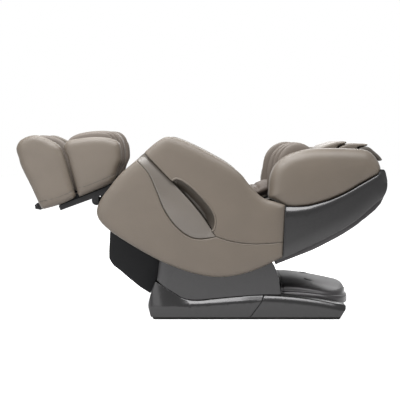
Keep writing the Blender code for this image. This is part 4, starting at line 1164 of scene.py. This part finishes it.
# ---------------------------------------------------------------- backrest covers
class CHAIR_OT_back_covers(bpy.types.Operator):
    """Moulds the painted covers at the sides of the back and its rear shell"""

    bl_idname = "chair.back_covers"
    bl_label = "Back covers"

    CHAMFER_FRONT, CHAMFER_REAR, CHAMFER_LEAN = 0.032, 0.012, 0.60
    COVER_FROM, COVER_RUN = 0.42, 0.46
    BOW, BOW_FROM, BOW_RUN = 0.012, 0.56, 0.36  # how the cover turns in towards the head end
    LIP_OUT, LIP_IN = 0.3337, 0.300

    def execute(self, context):
        ring = spaced(curve_through(SIDE_COVER, (0, 9, 10, 24, 27), 5), 0.007)
        top = open_curve(SIDE_COVER[:10])
        bottom = open_curve(SIDE_COVER[13:24])

        def outer(points, edge):
            back = np.clip((points[:, 0] - self.COVER_FROM) / self.COVER_RUN, 0, 1)
            width = (self.CHAMFER_FRONT
                     + (self.CHAMFER_REAR - self.CHAMFER_FRONT) * np.minimum(back * 1.8, 1))
            turned = self.BOW * np.clip((points[:, 0] - self.BOW_FROM) / self.BOW_RUN, 0, 1) ** 2
            return np.maximum(
                SIDE_COVER_OUT - chamfered(reach(points, top), width, self.CHAMFER_LEAN)
                - rounded(reach(points, bottom), 0.060, 0.0075)
                - rounded(edge, 0.004, 0.003) - turned, SIDE_COVER_IN + 0.004)

        for name, side in SIDES:
            settle(skin(f"side_cover_{name}_moulding", ring, outer, level(SIDE_COVER_IN), side,
                        "dark_silver", 0.012, 35, BANDS + (0.044,)), "back", "dark_silver",
                   f"side_cover_{name}")
            self.lip(name, side)
        refined("rear_shell", 0.002, 40)
        return {"FINISHED"}

    def lip(self, name, side):
        """The rear shell's moulded lip, which shows below the side cover."""
        ring = spaced(curve_through(SHELL_LIP, (0, 9), 5), 0.006)
        lower = open_curve(SHELL_LIP[9:], 4)

        def outer(points, edge):
            return (self.LIP_OUT - chamfered(reach(points, lower), 0.010, 0.35)
                    - rounded(edge, 0.003, 0.002))

        settle(skin(f"shell_lip_{name}", ring, outer, level(self.LIP_IN), side,
                    "rear_shell_grey", 0.008, 40, BANDS[:6]), "back", "rear_shell_grey")


# ---------------------------------------------------------------- base
SKID_LEAN = 0.73  # how far the upper facet leans in for each metre that it rises
LEAN_MOST = 0.0172
TOE_X, HEEL_X = -0.252, 0.726


def front_skid_face(points, edge):
    """Upright below the crease. Above it a facet, which leans in more away from the toe."""
    crease, top = np.array(FRONT_CREASE), np.array(FRONT_TOP)
    x, z = points[:, 0], points[:, 1]
    low = np.interp(x, crease[:, 0], crease[:, 1])
    tall = np.maximum(np.interp(x, top[:, 0], top[:, 1]) - low, 0.004)
    share = np.clip((z - low) / tall, 0, 1)
    lean = np.minimum(SKID_LEAN * tall, LEAN_MOST)
    toe = rounded(np.maximum(x - TOE_X, 0), 0.075, 0.024)
    return SKID_OUT - lean * share - toe - rounded(edge, 0.0035, 0.003)


def rear_skid_face(points, edge):
    """Upright, with a broad rounding under its upper edge that runs out round the rear."""
    top = np.array(REAR_TOP)
    drop = np.maximum(np.interp(points[:, 0], top[:, 0], top[:, 1]) - points[:, 1], 0)
    heel = rounded(np.maximum(HEEL_X - points[:, 0], 0), 0.070, 0.022)
    return (SKID_OUT - chamfered(drop, 0.020, SKID_LEAN) - heel
            - rounded(edge, 0.0035, 0.003))


# The column's front edge, as x at some heights, and how far its face turns in at the rear.
COLUMN_FRONT = (-0.214, -0.200, -0.110), (0.188, 0.30, 0.405)
COLUMN_TURN, TURN_FROM, TURN_RUN = 0.006, 0.20, 0.20


def column_face(points, edge):
    """The shroud turns in along its front edge and, a little, towards its rear."""
    x, z = points[:, 0], points[:, 1]
    at, heights = COLUMN_FRONT
    front = rounded(np.maximum(x - np.interp(z, heights, at), 0), 0.060, 0.016)
    rear = COLUMN_TURN * np.clip((x - TURN_FROM) / TURN_RUN, 0, 1) ** 2
    return COLUMN_OUT - front - rear - rounded(edge, 0.003, 0.003)


DECK_FOOT, DECK_TOP = 0.0546, 0.1825
DOME, DOME_HALF = 0.036, 0.24  # how far the deck falls to each side, and over what distance
SLOPE, SLOPE_FROM, SLOPE_RUN = 0.055, 0.470, 0.300  # how far it falls to the rear, and where
DECK_LEDGE = ((0.40, 0.123), (0.504, 0.1195), (0.605, 0.1100), (0.706, 0.0955), (0.775, 0.0860))


def deck_point(x, across, share, wall):
    """A place at a share of the height: up to 1 below the ledge, up to 2 below the top."""
    fall = DOME * (abs(across) / DOME_HALF) ** 2.2
    top = DECK_TOP - SLOPE * max(0.0, (x - SLOPE_FROM) / SLOPE_RUN) ** 1.3 - fall - wall
    ledge = float(np.interp(x, *zip(*DECK_LEDGE)))
    if share <= 1:
        return (x, across, DECK_FOOT + (ledge - DECK_FOOT) * share)
    return (x, across, ledge + (top - ledge) * min(share - 1, 1.0))


class CHAIR_OT_base(bpy.types.Operator):
    """Moulds the skids, the column shrouds and the rear deck"""

    bl_idname = "chair.base"
    bl_label = "Base"

    DECK_HALF, DECK_WALL = 0.2598, 0.004
    # The rear end in plan: where it starts to round, how far it reaches on from there, how
    # square it is (1 is an ellipse, less is squarer) and its points on each side.
    REAR_FROM, REAR_REACH, SQUARENESS, REAR_STEPS = 0.600, 0.172, 0.75, 32
    # Each ring of the wall: its share of the height, for deck_point, and of the size in plan.
    DECK_LEVELS = (
        (0.0, 1.0), (0.5, 1.0), (0.80, 1.0), (0.84, 0.998), (0.975, 0.975), (1.0, 0.970),
        (1.02, 0.958), (1.10, 0.940), (1.20, 0.933), (1.40, 0.927), (1.65, 0.917), (1.82, 0.902),
        (1.93, 0.880), (1.98, 0.850), (2.0, 0.80), (2.0, 0.70), (2.0, 0.56), (2.0, 0.40),
    )

    POWER_NOTCH = (0.690, -0.0515, 0.020), (0.830, 0.0515, 0.1085)
    GROOVE, GROOVE_HALF, GROOVE_DEPTH = 0.4205, 0.0021, 0.0026
    DECK_STATIONS = (0.55, 0.50, 0.46, 0.430, 0.4235, 0.4225, 0.4185, 0.4175, 0.4122)

    def execute(self, context):
        for kind, outline, corners, outer, inner_y in (
            ("skid_front", SKID_FRONT, (0, 5, 6, 7, 8), front_skid_face, SKID_IN),
            ("skid_rear", SKID_REAR, (0, 1, 9, 10), rear_skid_face, SKID_IN),
            ("column_shroud", COLUMN, (0, 14), column_face, COLUMN_IN),
        ):
            ring = spaced(curve_through(outline, corners, 6), 0.006)
            for name, side in SIDES:
                node = f"{kind}_{name}"
                settle(skin(f"{node}_moulding", ring, outer, level(inner_y), side,
                            "dark_silver", 0.008, 38), "base", "dark_silver", node)
        self.deck()
        for name, _ in SIDES:
            refined(f"foot_strip_{name}", 0.0015, 28)
        return {"FINISHED"}

    def deck(self):
        """The low cover behind the column: a thin shell, rounded in plan, with a ledge."""
        outside = [self.deck_ring(0.0, *step) for step in self.DECK_LEVELS]
        inside = [self.deck_ring(self.DECK_WALL, *step) for step in self.DECK_LEVELS]
        count, levels = len(outside[0]), len(outside)
        vertices = [p for ring in outside + inside for p in ring]
        faces = []
        for start in (0, levels * count):
            faces += lofted(levels, count, start, closed=False)
            last = start + (levels - 1) * count
            faces += [(last + i, last + i + 1, last + count - 2 - i, last + count - 1 - i)
                      for i in range((count - 1) // 2)]
        foot = levels * count
        faces += [(i, i + 1, foot + i + 1, foot + i) for i in range(count - 1)]
        for i in (0, count - 1):
            faces += [(j * count + i, (j + 1) * count + i, foot + (j + 1) * count + i,
                       foot + j * count + i) for j in range(levels - 1)]
        faces.append((foot - count, foot - 1, 2 * foot - 1, 2 * foot - count))
        cover = loose_object("rear_deck_cover", vertices, faces, "rear_shell_grey", sharp=50)
        notch = block("notch", *self.POWER_NOTCH)
        opening = cover.modifiers.new("power_notch", "BOOLEAN")
        opening.operation, opening.object, opening.solver = "DIFFERENCE", notch, "EXACT"
        applied(cover)
        bpy.data.objects.remove(notch, do_unlink=True)
        settle(cover, "base", "rear_shell_grey", "rear_deck")

    def deck_ring(self, wall, share, shrink):
        """One level of the deck's wall, from its front end round the rear to the other side."""
        ring = []
        half = self.DECK_HALF * shrink - wall
        for k in range(-self.REAR_STEPS, self.REAR_STEPS + 1):
            angle = math.pi / 2 * k / self.REAR_STEPS
            across = half * math.copysign(abs(math.sin(angle)) ** self.SQUARENESS, angle)
            x = self.REAR_FROM + ((self.REAR_REACH * shrink - wall)
                                  * abs(math.cos(angle)) ** self.SQUARENESS)
            ring.append(deck_point(x, across, share, wall))
        for x in self.DECK_STATIONS:
            grooved = abs(x - self.GROOVE) < self.GROOVE_HALF and not wall and share > 0.9
            groove = self.GROOVE_DEPTH if grooved else 0
            ring.append(deck_point(x, half - groove, share, wall + groove))
            ring.insert(0, deck_point(x, groove - half, share, wall + groove))
        return ring


def block(name, low, high):
    """A plain block, for cutting."""
    corners = [(x, y, z) for x in (low[0], high[0]) for y in (low[1], high[1])
               for z in (low[2], high[2])]
    faces = [(0, 1, 3, 2), (4, 6, 7, 5), (0, 4, 5, 1), (2, 3, 7, 6), (0, 2, 6, 4),
             (1, 5, 7, 3)]
    return loose_object(name, corners, faces, "rear_shell_grey", smooth=False)


class CHAIR_OT_pads(bpy.types.Operator):
    """Stuffs the pads that are sat and lain on, by a cloth simulation"""

    bl_idname = "chair.pads"
    bl_label = "Pads"

    def execute(self, context):
        sizes = context.scene.chair_sizes
        slot = "pad_leather"
        for node, voxel in (("seat_cushion", 0.0065), ("back_cushion", 0.0055),
                            ("sole_pad", 0.0050)):
            pad = stuffed(node, sizes, slot, voxel)
            settle(pad, BODY_OF[node], slot, node)
        near = stuffed("calf_pad_L", sizes, slot, 0.0045)
        far = mirrored(near, "calf_pad_R_stuffed")
        for pad, node in ((near, "calf_pad_L"), (far, "calf_pad_R")):
            settle(pad, BODY_OF[node], slot, node)
        self.pillow()
        self.ribbed()
        return {"FINISHED"}

    def ribbed(self):
        """The channelled wings, bolsters and dividers."""
        wing = (WING, WING_IN, WING_OUT, ((0, 0), (0.002, 0.017), (0.005, 0.034)))
        bolster = (CALF_TALL, BOLSTER_IN, BOLSTER_OUT, ((0, 0), (0.003, 0.013), (0.008, 0.026)))
        middle = (-DIVIDER_HALF, DIVIDER_HALF, ((0.003, 0), (0.003, 0)))
        pieces = [(f"shoulder_wing_{name}", wing, side, -1) for name, side in SIDES]
        pieces += [(f"calf_bolster_{name}", bolster, side, 1) for name, side in SIDES]
        pieces += [("calf_divider", (CALF_TALL, *middle), 1, 1),
                   ("foot_divider", (FOOT_MIDDLE, *middle), 1, 1)]
        for node, shape, side, fan in pieces:
            pad = channelled(f"{node}_channels", *shape, side, fan)
            settle(pad, BODY_OF[node], "ribbed_leather", node)

    PILLOW_HALF = 0.155
    FLAPS = {
        "head_pillow_lower": points_mm(
            601, 800, 608, 836, 630, 855, 662, 867, 712, 878, 736, 879, 748, 874, 738, 864,
            705, 853, 700, 830, 701, 800, 690, 780, 645, 776),
        "head_pillow_middle": points_mm(
            705, 806, 706, 838, 718, 853, 762, 868, 810, 868, 855, 864.5, 852, 856, 806, 848,
            802, 832, 799, 818.5, 750, 800, 715, 786),
        "head_pillow_upper": points_mm(
            806, 824, 812, 843, 840, 852, 862, 850, 884, 834, 931, 787, 914, 778.5, 895, 795,
            872, 813, 835, 821),
    }

    def pillow(self):
        """The head pillow: three padded flaps that overlap like tiles, open at their tips."""
        outer = pillowed(self.PILLOW_HALF, 0.012, 0.010)
        for name, outline in self.FLAPS.items():
            ring = spaced(curve_through(outline, (), 4), 0.005)
            # the upper flap takes the darker leather that paints the shade of the grip's bowl
            finish = "pocket_shade_leather" if name.endswith("upper") else "taupe_leather"
            flap = skin(name, ring, outer, lambda points, edge: -outer(points, edge), -1, finish,
                        0.008, 70, BANDS[:4])
            settle(flap, "back", "taupe_leather", "head_pillow")


# ---------------------------------------------------------------- mechanism
class CHAIR_OT_mechanism(bpy.types.Operator):
    """Eases the edges of the frames, shafts, actuators, rollers and the power inlet"""

    bl_idname = "chair.mechanism"
    bl_label = "Mechanism"

    EASED = {
        0.0030: ("underseat_cover", "boot_shell"),
        0.0012: ("base_frame", "seat_frame", "back_frame", "leg_frame", "foot_frame",
                 "massage_carriage", "power_box", "leg_roller", "foot_wheels"),
        0.0007: ("tilt_shaft", "recline_shaft", "leg_shaft", "kneading_unit", "power_switch",
                 "tilt_actuator_body", "recline_actuator_body", "lift_actuator_body",
                 "tilt_actuator_rod", "recline_actuator_rod", "lift_actuator_rod"),
    }

    def execute(self, context):
        for width, nodes in self.EASED.items():
            for node in nodes:
                refined(node, width, 30)
        return {"FINISHED"}


# ---------------------------------------------------------------- sewn lines and fasteners
class Rows:
    """A node tree that sets small pieces along lines or at points, ending as one mesh."""

    def __init__(self, name, inputs):
        self.tree = bpy.data.node_groups.new(name, "GeometryNodeTree")
        self.tree.interface.new_socket(
            "Geometry", in_out="INPUT", socket_type="NodeSocketGeometry")
        for label, kind in inputs:
            self.tree.interface.new_socket(label, in_out="INPUT", socket_type="NodeSocket" + kind)
        self.tree.interface.new_socket(
            "Geometry", in_out="OUTPUT", socket_type="NodeSocketGeometry")
        self.given = self.tree.nodes.new("NodeGroupInput").outputs

    def node(self, kind, settings=None, **inputs):
        """The first output of a new node."""
        return new_node(self.tree, kind, settings, inputs)

    def close(self, placed):
        """Makes the instances real and gives them the finish that the tree was handed."""
        real = self.node("GeometryNodeRealizeInstances", Geometry=placed)
        smooth = self.node("GeometryNodeSetShadeSmooth", Geometry=real)
        done = self.node("GeometryNodeSetMaterial", Geometry=smooth, Material=self.given["Finish"])
        self.tree.links.new(done, self.tree.nodes.new("NodeGroupOutput").inputs[0])
        return self.tree


SHORTEST, LONGEST = 0.42, 0.54  # half a stitch, as a share of the length it is given


def stitch_tree():
    """Dashes of thread at an even pitch along each line, slightly uneven in length."""
    rows = Rows("stitch_rows", (("Pitch", "Float"), ("Length", "Float"), ("Thickness", "Float"),
                                ("Seed", "Int"), ("Finish", "Material")))
    given = rows.given
    lines = rows.node("GeometryNodeMeshToCurve", Mesh=given["Geometry"])
    lines = rows.node("GeometryNodeResampleCurve", {"mode": "LENGTH"}, Curve=lines,
                      Length=given["Pitch"])
    along = rows.node("FunctionNodeAlignRotationToVector", {"axis": "Z"},
                      Vector=rows.node("GeometryNodeInputTangent"))
    uneven = new_node(rows.tree, "FunctionNodeRandomValue", {"data_type": "FLOAT"},
                      {"Seed": given["Seed"], 2: SHORTEST, 3: LONGEST}, 1)
    half_length, half_width = (
        new_node(rows.tree, "ShaderNodeMath", {"operation": "MULTIPLY"}, {0: first, 1: second})
        for first, second in ((uneven, given["Length"]), (given["Thickness"], 0.5)))
    size = rows.node("ShaderNodeCombineXYZ", X=half_width, Y=half_width, Z=half_length)
    dash = rows.node("GeometryNodeMeshUVSphere", Segments=6, Rings=4, Radius=1.0)
    return rows.close(rows.node("GeometryNodeInstanceOnPoints", Points=lines, Instance=dash,
                                Rotation=along, Scale=size))


def screw_tree():
    """A button-head screw at each point, square to the point's own direction."""
    rows = Rows("screws", (("Radius", "Float"), ("Height", "Float"), ("Finish", "Material")))
    given = rows.given
    facing = rows.node("FunctionNodeAlignRotationToVector", {"axis": "Z"},
                       Vector=rows.node("GeometryNodeInputNamedAttribute",
                                        {"data_type": "FLOAT_VECTOR"}, Name="facing"))
    head = rows.node("GeometryNodeMeshUVSphere", Segments=16, Rings=8, Radius=1.0)
    socket = rows.node("GeometryNodeMeshCylinder", Vertices=6, Radius=0.42, Depth=2.1)
    both = rows.node("GeometryNodeJoinGeometry")
    rows.tree.links.new(head, both.node.inputs[0])
    rows.tree.links.new(socket, both.node.inputs[0])
    size = rows.node("ShaderNodeCombineXYZ", X=given["Radius"], Y=given["Radius"],
                     Z=given["Height"])
    points = rows.node("GeometryNodeMeshToPoints", Mesh=given["Geometry"])
    return rows.close(rows.node("GeometryNodeInstanceOnPoints", Points=points, Instance=both,
                                Rotation=facing, Scale=size))


def grown(name, tree, vertices, edges, values, facing=None):
    """The mesh that a tree grows on some vertices, as a plain object."""
    mesh = bpy.data.meshes.new(name)
    mesh.from_pydata([tuple(v) for v in vertices], edges, [])
    if facing:
        attribute = mesh.attributes.new("facing", "FLOAT_VECTOR", "POINT")
        attribute.data.foreach_set("vector", [c for f in facing for c in f])
    made = linked(name, mesh)
    step = made.modifiers.new("rows", "NODES")
    step.node_group = tree
    for item in tree.interface.items_tree:
        if item.in_out == "INPUT" and item.name in values:
            step[item.identifier] = values[item.name]
    made.update_tag()
    return applied(made)


def beside(line, distance):
    """An open line moved sideways, to the left of its direction where distance is above 0."""
    moved = []
    for i, p in enumerate(line):
        along = (line[min(i + 1, len(line) - 1)] - line[max(i - 1, 0)]).normalized()
        moved.append(p + distance * Vector((-along.y, along.x)))
    return moved


# ---------------------------------------------------------------- seams, flaps and trim
class CHAIR_OT_details(bpy.types.Operator):
    """Adds the sewn lines, the lining strips, the slide covers, the trim and the screws"""

    bl_idname = "chair.details"
    bl_label = "Seams and trim"

    STITCH_LENGTH, THREAD, STITCH_LIFT = 0.0042, 0.0010, 0.0001
    BESIDE_SEAM = 0.0068
    SEAM_RADIUS, SEAM_LIFT = 0.0011, 0.0006
    LINING, PLEAT = 0.0026, 0.0012  # thickness of the lining, and height of its pleats
    PLEAT_WAVES = 310, 47  # of the pleats and of their slow change, in radians for each metre
    SLIDE_COVER = points_mm(-672, 566, -440, 655, -440, 690, -600, 625, -672, 600)
    WAIST = points_mm(80, 573.5, 96, 590, 112, 598.5, 130, 601, 148, 600, 166, 597)
    WAIST_HALF = 0.215
    SIDE_LINING = points_mm(205, 556, 250, 566, 300, 578, 352, 592)
    SIDE_LINING_SPAN = (0.1640, 0.2600)
    SLIDE_OUT, SLIDE_IN = 0.2275, 0.2245
    # The bead at the arm's rear edge: where it starts, how far it runs, its steps and its radius.
    BEAD_FOOT, BEAD_RUN = (0.4085, 0.3700, 0.318), (0.0092, 0.250)
    BEAD_STEPS, BEAD_RADIUS = 12, 0.0028
    DECK_CAP, CAP_RADIUS, CAP_SIDES = (0.565, 0.110), 0.023, 32
    # Out from the cap's centre: share of its radius, and height over the deck.
    CAP_PROFILE = ((0.0, 0.0014), (0.60, 0.0014), (0.90, 0.0012), (0.97, 0.0007), (1.0, -0.0004),
                   (1.0, -0.003))
    SCREW_RADIUS, SCREW_HEIGHT, SCREW_SINK = 0.0062, 0.0022, 0.0004
    SHELL_SCREWS = [(x, 0.285 * turn) for x in (0.47, 0.60, 0.73) for turn in (-1, 1)]

    def execute(self, context):
        sizes = context.scene.chair_sizes
        self.lines = {"seat": [], "leg": [], "foot": []}
        self.arm_lines()
        self.skirt_lines("calf_pod", CALF, CALF_SKIRT, "leg")
        self.skirt_lines("foot_pod", FOOT_SIDE, FOOT_SKIRT, "foot")
        tree = stitch_tree()
        for body, lines in self.lines.items():
            self.stitches(body, lines, tree, sizes)
        self.linings()
        self.trim()
        self.screws()
        return {"FINISHED"}

    def arm_lines(self):
        """The topstitches beside the arm's seams."""
        sizes = bpy.context.scene.chair_sizes
        face = arm_face(curve_through(ARM, ARM_CORNERS, 6), sizes.arm_round)
        low = open_curve(LEAF_LOW)
        back = open_curve(SEAM_BACK)
        high = [p for p in open_curve(LEAF_HIGH, 6) if p.x < -0.150]
        for line, gap in ((low, -self.BESIDE_SEAM), (back, -self.BESIDE_SEAM),
                          (back[1:], self.BESIDE_SEAM), (high, -self.BESIDE_SEAM)):
            row = spaced(beside(line, gap), 0.012, closed=False)[1:-1]
            for _, side in SIDES:
                self.lines["seat"].append(laid_on(row, face, side, self.STITCH_LIFT))

    def skirt_lines(self, kind, outline, skirt, body):
        """The seam above a pod's skirt, a dark tube of painted shadow, and the topstitch under it.
        """
        ring = spaced(curve_through(outline, (), 6), 0.006)
        face = leg_pod_face(bpy.context.scene.chair_sizes.pod_round, skirt)
        line = spaced(open_curve(skirt, 6), 0.008, closed=False)

        def height(flat):
            return face(flat, reach(flat, ring, True))

        for name, side in SIDES:
            seam = tube(f"{kind}_{name}_seam", laid_on(line, height, side, self.SEAM_LIFT),
                        self.SEAM_RADIUS, "seam_shadow", 6)
            settle(seam, body, "taupe_leather")
            row = spaced(beside(line, -self.BESIDE_SEAM), 0.012, closed=False)[1:-1]
            self.lines[body].append(laid_on(row, height, side, self.STITCH_LIFT))

    def stitches(self, body, lines, tree, sizes):
        """All the topstitches of one body."""
        vertices, edges = [], []
        for line in lines:
            start = len(vertices)
            vertices += line
            edges += [(start + i, start + i + 1) for i in range(len(line) - 1)]
        made = grown(f"stitches_{body}", tree, vertices, edges, {
            "Pitch": sizes.stitch_pitch, "Length": self.STITCH_LENGTH, "Thickness": self.THREAD,
            "Seed": 7, "Finish": FINISHES["thread"]})
        settle(made, body, "taupe_leather")

    def linings(self):
        """The lining beside the lower back, and between the seat and the back."""
        low, high = self.SIDE_LINING_SPAN
        for name, side in SIDES:
            near, far = sorted((side * low, side * high))
            piece = self.strip(f"back_side_lining_{name}", self.SIDE_LINING, near, far)
            settle(piece, "back", "pad_leather")
        lining = self.strip("waist_lining", self.WAIST, -self.WAIST_HALF, self.WAIST_HALF)
        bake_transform(lining)

    def strip(self, name, path, near, far):
        """A strip of stretched cloth that follows a side line, with shallow pleats across it."""
        line = spaced(open_curve(path), 0.006, closed=False)
        upper, lower = beside(line, self.LINING / 2), beside(line, -self.LINING / 2)
        loop = upper + lower[::-1]
        across = round((far - near) / 0.008)
        wave, change = self.PLEAT_WAVES
        vertices = []
        for j in range(across + 1):
            y = near + (far - near) * j / across
            for i, p in enumerate(loop):
                middle = 1 - abs(2 * (i % len(line)) / (len(line) - 1) - 1)
                pleat = self.PLEAT * middle * math.sin(y * wave) * math.cos(y * change)
                vertices.append((p.x, y, p.y + pleat))
        count = len(loop)
        faces = lofted(across + 1, count)
        faces.append(tuple(range(count)))
        faces.append(tuple(across * count + i for i in range(count)))
        made = loose_object(name, vertices, faces, "lining_knit", sharp=60)
        return made

    def trim(self):
        """The slide covers under the calves, the arms' rear beads and the deck's caps."""
        for name, side in SIDES:
            ring = spaced(curve_through(self.SLIDE_COVER, range(5), 2), 0.008)
            plate = skin(f"slide_cover_{name}", ring, level(self.SLIDE_OUT),
                         level(self.SLIDE_IN), side, "black_plastic", 0.02, 30, (0.004,))
            settle(plate, "leg", "black_plastic")
            x, y, z = self.BEAD_FOOT
            forward, rise = self.BEAD_RUN
            bead = [(x + forward * k / self.BEAD_STEPS, side * y, z + rise * k / self.BEAD_STEPS)
                    for k in range(self.BEAD_STEPS + 1)]
            settle(tube(f"arm_rear_bead_{name}", bead, self.BEAD_RADIUS, "dark_silver", 10),
                   "seat", "dark_silver")
            self.cap(name, side)

    def cap(self, name, side):
        """A round cap on the deck, which follows its slope."""
        centre_x, centre_y = self.DECK_CAP
        vertices = []
        for share, lift in self.CAP_PROFILE:
            for k in range(self.CAP_SIDES):
                turn = 2 * math.pi * k / self.CAP_SIDES
                x = centre_x + self.CAP_RADIUS * share * math.cos(turn)
                y = centre_y + self.CAP_RADIUS * share * math.sin(turn)
                level_z = deck_point(x, y, 2.0, 0.0)[2]
                vertices.append((x, side * y, level_z + lift))
        faces = lofted(len(self.CAP_PROFILE), self.CAP_SIDES)
        faces.append(tuple(range(len(vertices) - self.CAP_SIDES, len(vertices))))
        made = loose_object(f"deck_cap_{name}", vertices, faces, "rear_shell_grey", sharp=45)
        settle(made, "base", "rear_shell_grey")

    def screws(self):
        """Two rows of screws that hold the rear shell to its frame."""
        shell = bpy.data.objects["rear_shell_eased"]
        places, facing = [], []
        for x, y in self.SHELL_SCREWS:
            hit, place, normal, _ = shell.ray_cast((x, y, 0.0), (0, 0, 1))
            if hit:
                places.append(tuple(place - normal * self.SCREW_SINK))
                facing.append(tuple(normal))
        made = grown("shell_screws", screw_tree(), places, [], {
            "Radius": self.SCREW_RADIUS, "Height": self.SCREW_HEIGHT,
            "Finish": FINISHES["bright_steel"]}, facing)
        settle(made, "back", "bright_steel")


# ---------------------------------------------------------------- panel and running order
OPERATORS = (
    CHAIR_OT_finishes, CHAIR_OT_stage, CHAIR_OT_arms, CHAIR_OT_pods, CHAIR_OT_back_covers,
    CHAIR_OT_base, CHAIR_OT_pads, CHAIR_OT_mechanism, CHAIR_OT_details,
)


class CHAIR_PT_panel(bpy.types.Panel):
    """Lists the chair's settings and the steps that build it"""

    bl_idname = "CHAIR_PT_panel"
    bl_label = "Massage Chair"
    bl_space_type = "VIEW_3D"
    bl_region_type = "UI"
    bl_category = "Massage Chair"

    def draw(self, context):
        for group in (context.scene.chair_sizes, context.scene.chair_colours):
            for name in group.__annotations__:
                self.layout.prop(group, name)
        for operator in OPERATORS:
            self.layout.operator(operator.bl_idname)


CLASSES = (ChairSizes, ChairColours, *OPERATORS, CHAIR_PT_panel)


def register():
    for cls in CLASSES:
        bpy.utils.register_class(cls)
    bpy.types.Scene.chair_sizes = bpy.props.PointerProperty(type=ChairSizes)
    bpy.types.Scene.chair_colours = bpy.props.PointerProperty(type=ChairColours)


def unregister():
    del bpy.types.Scene.chair_sizes
    del bpy.types.Scene.chair_colours
    for cls in reversed(CLASSES):
        bpy.utils.unregister_class(cls)


def main():
    register()
    for operator in OPERATORS:
        group, name = operator.bl_idname.split(".")
        getattr(getattr(bpy.ops, group), name)()


if __name__ == "__main__":
    main()
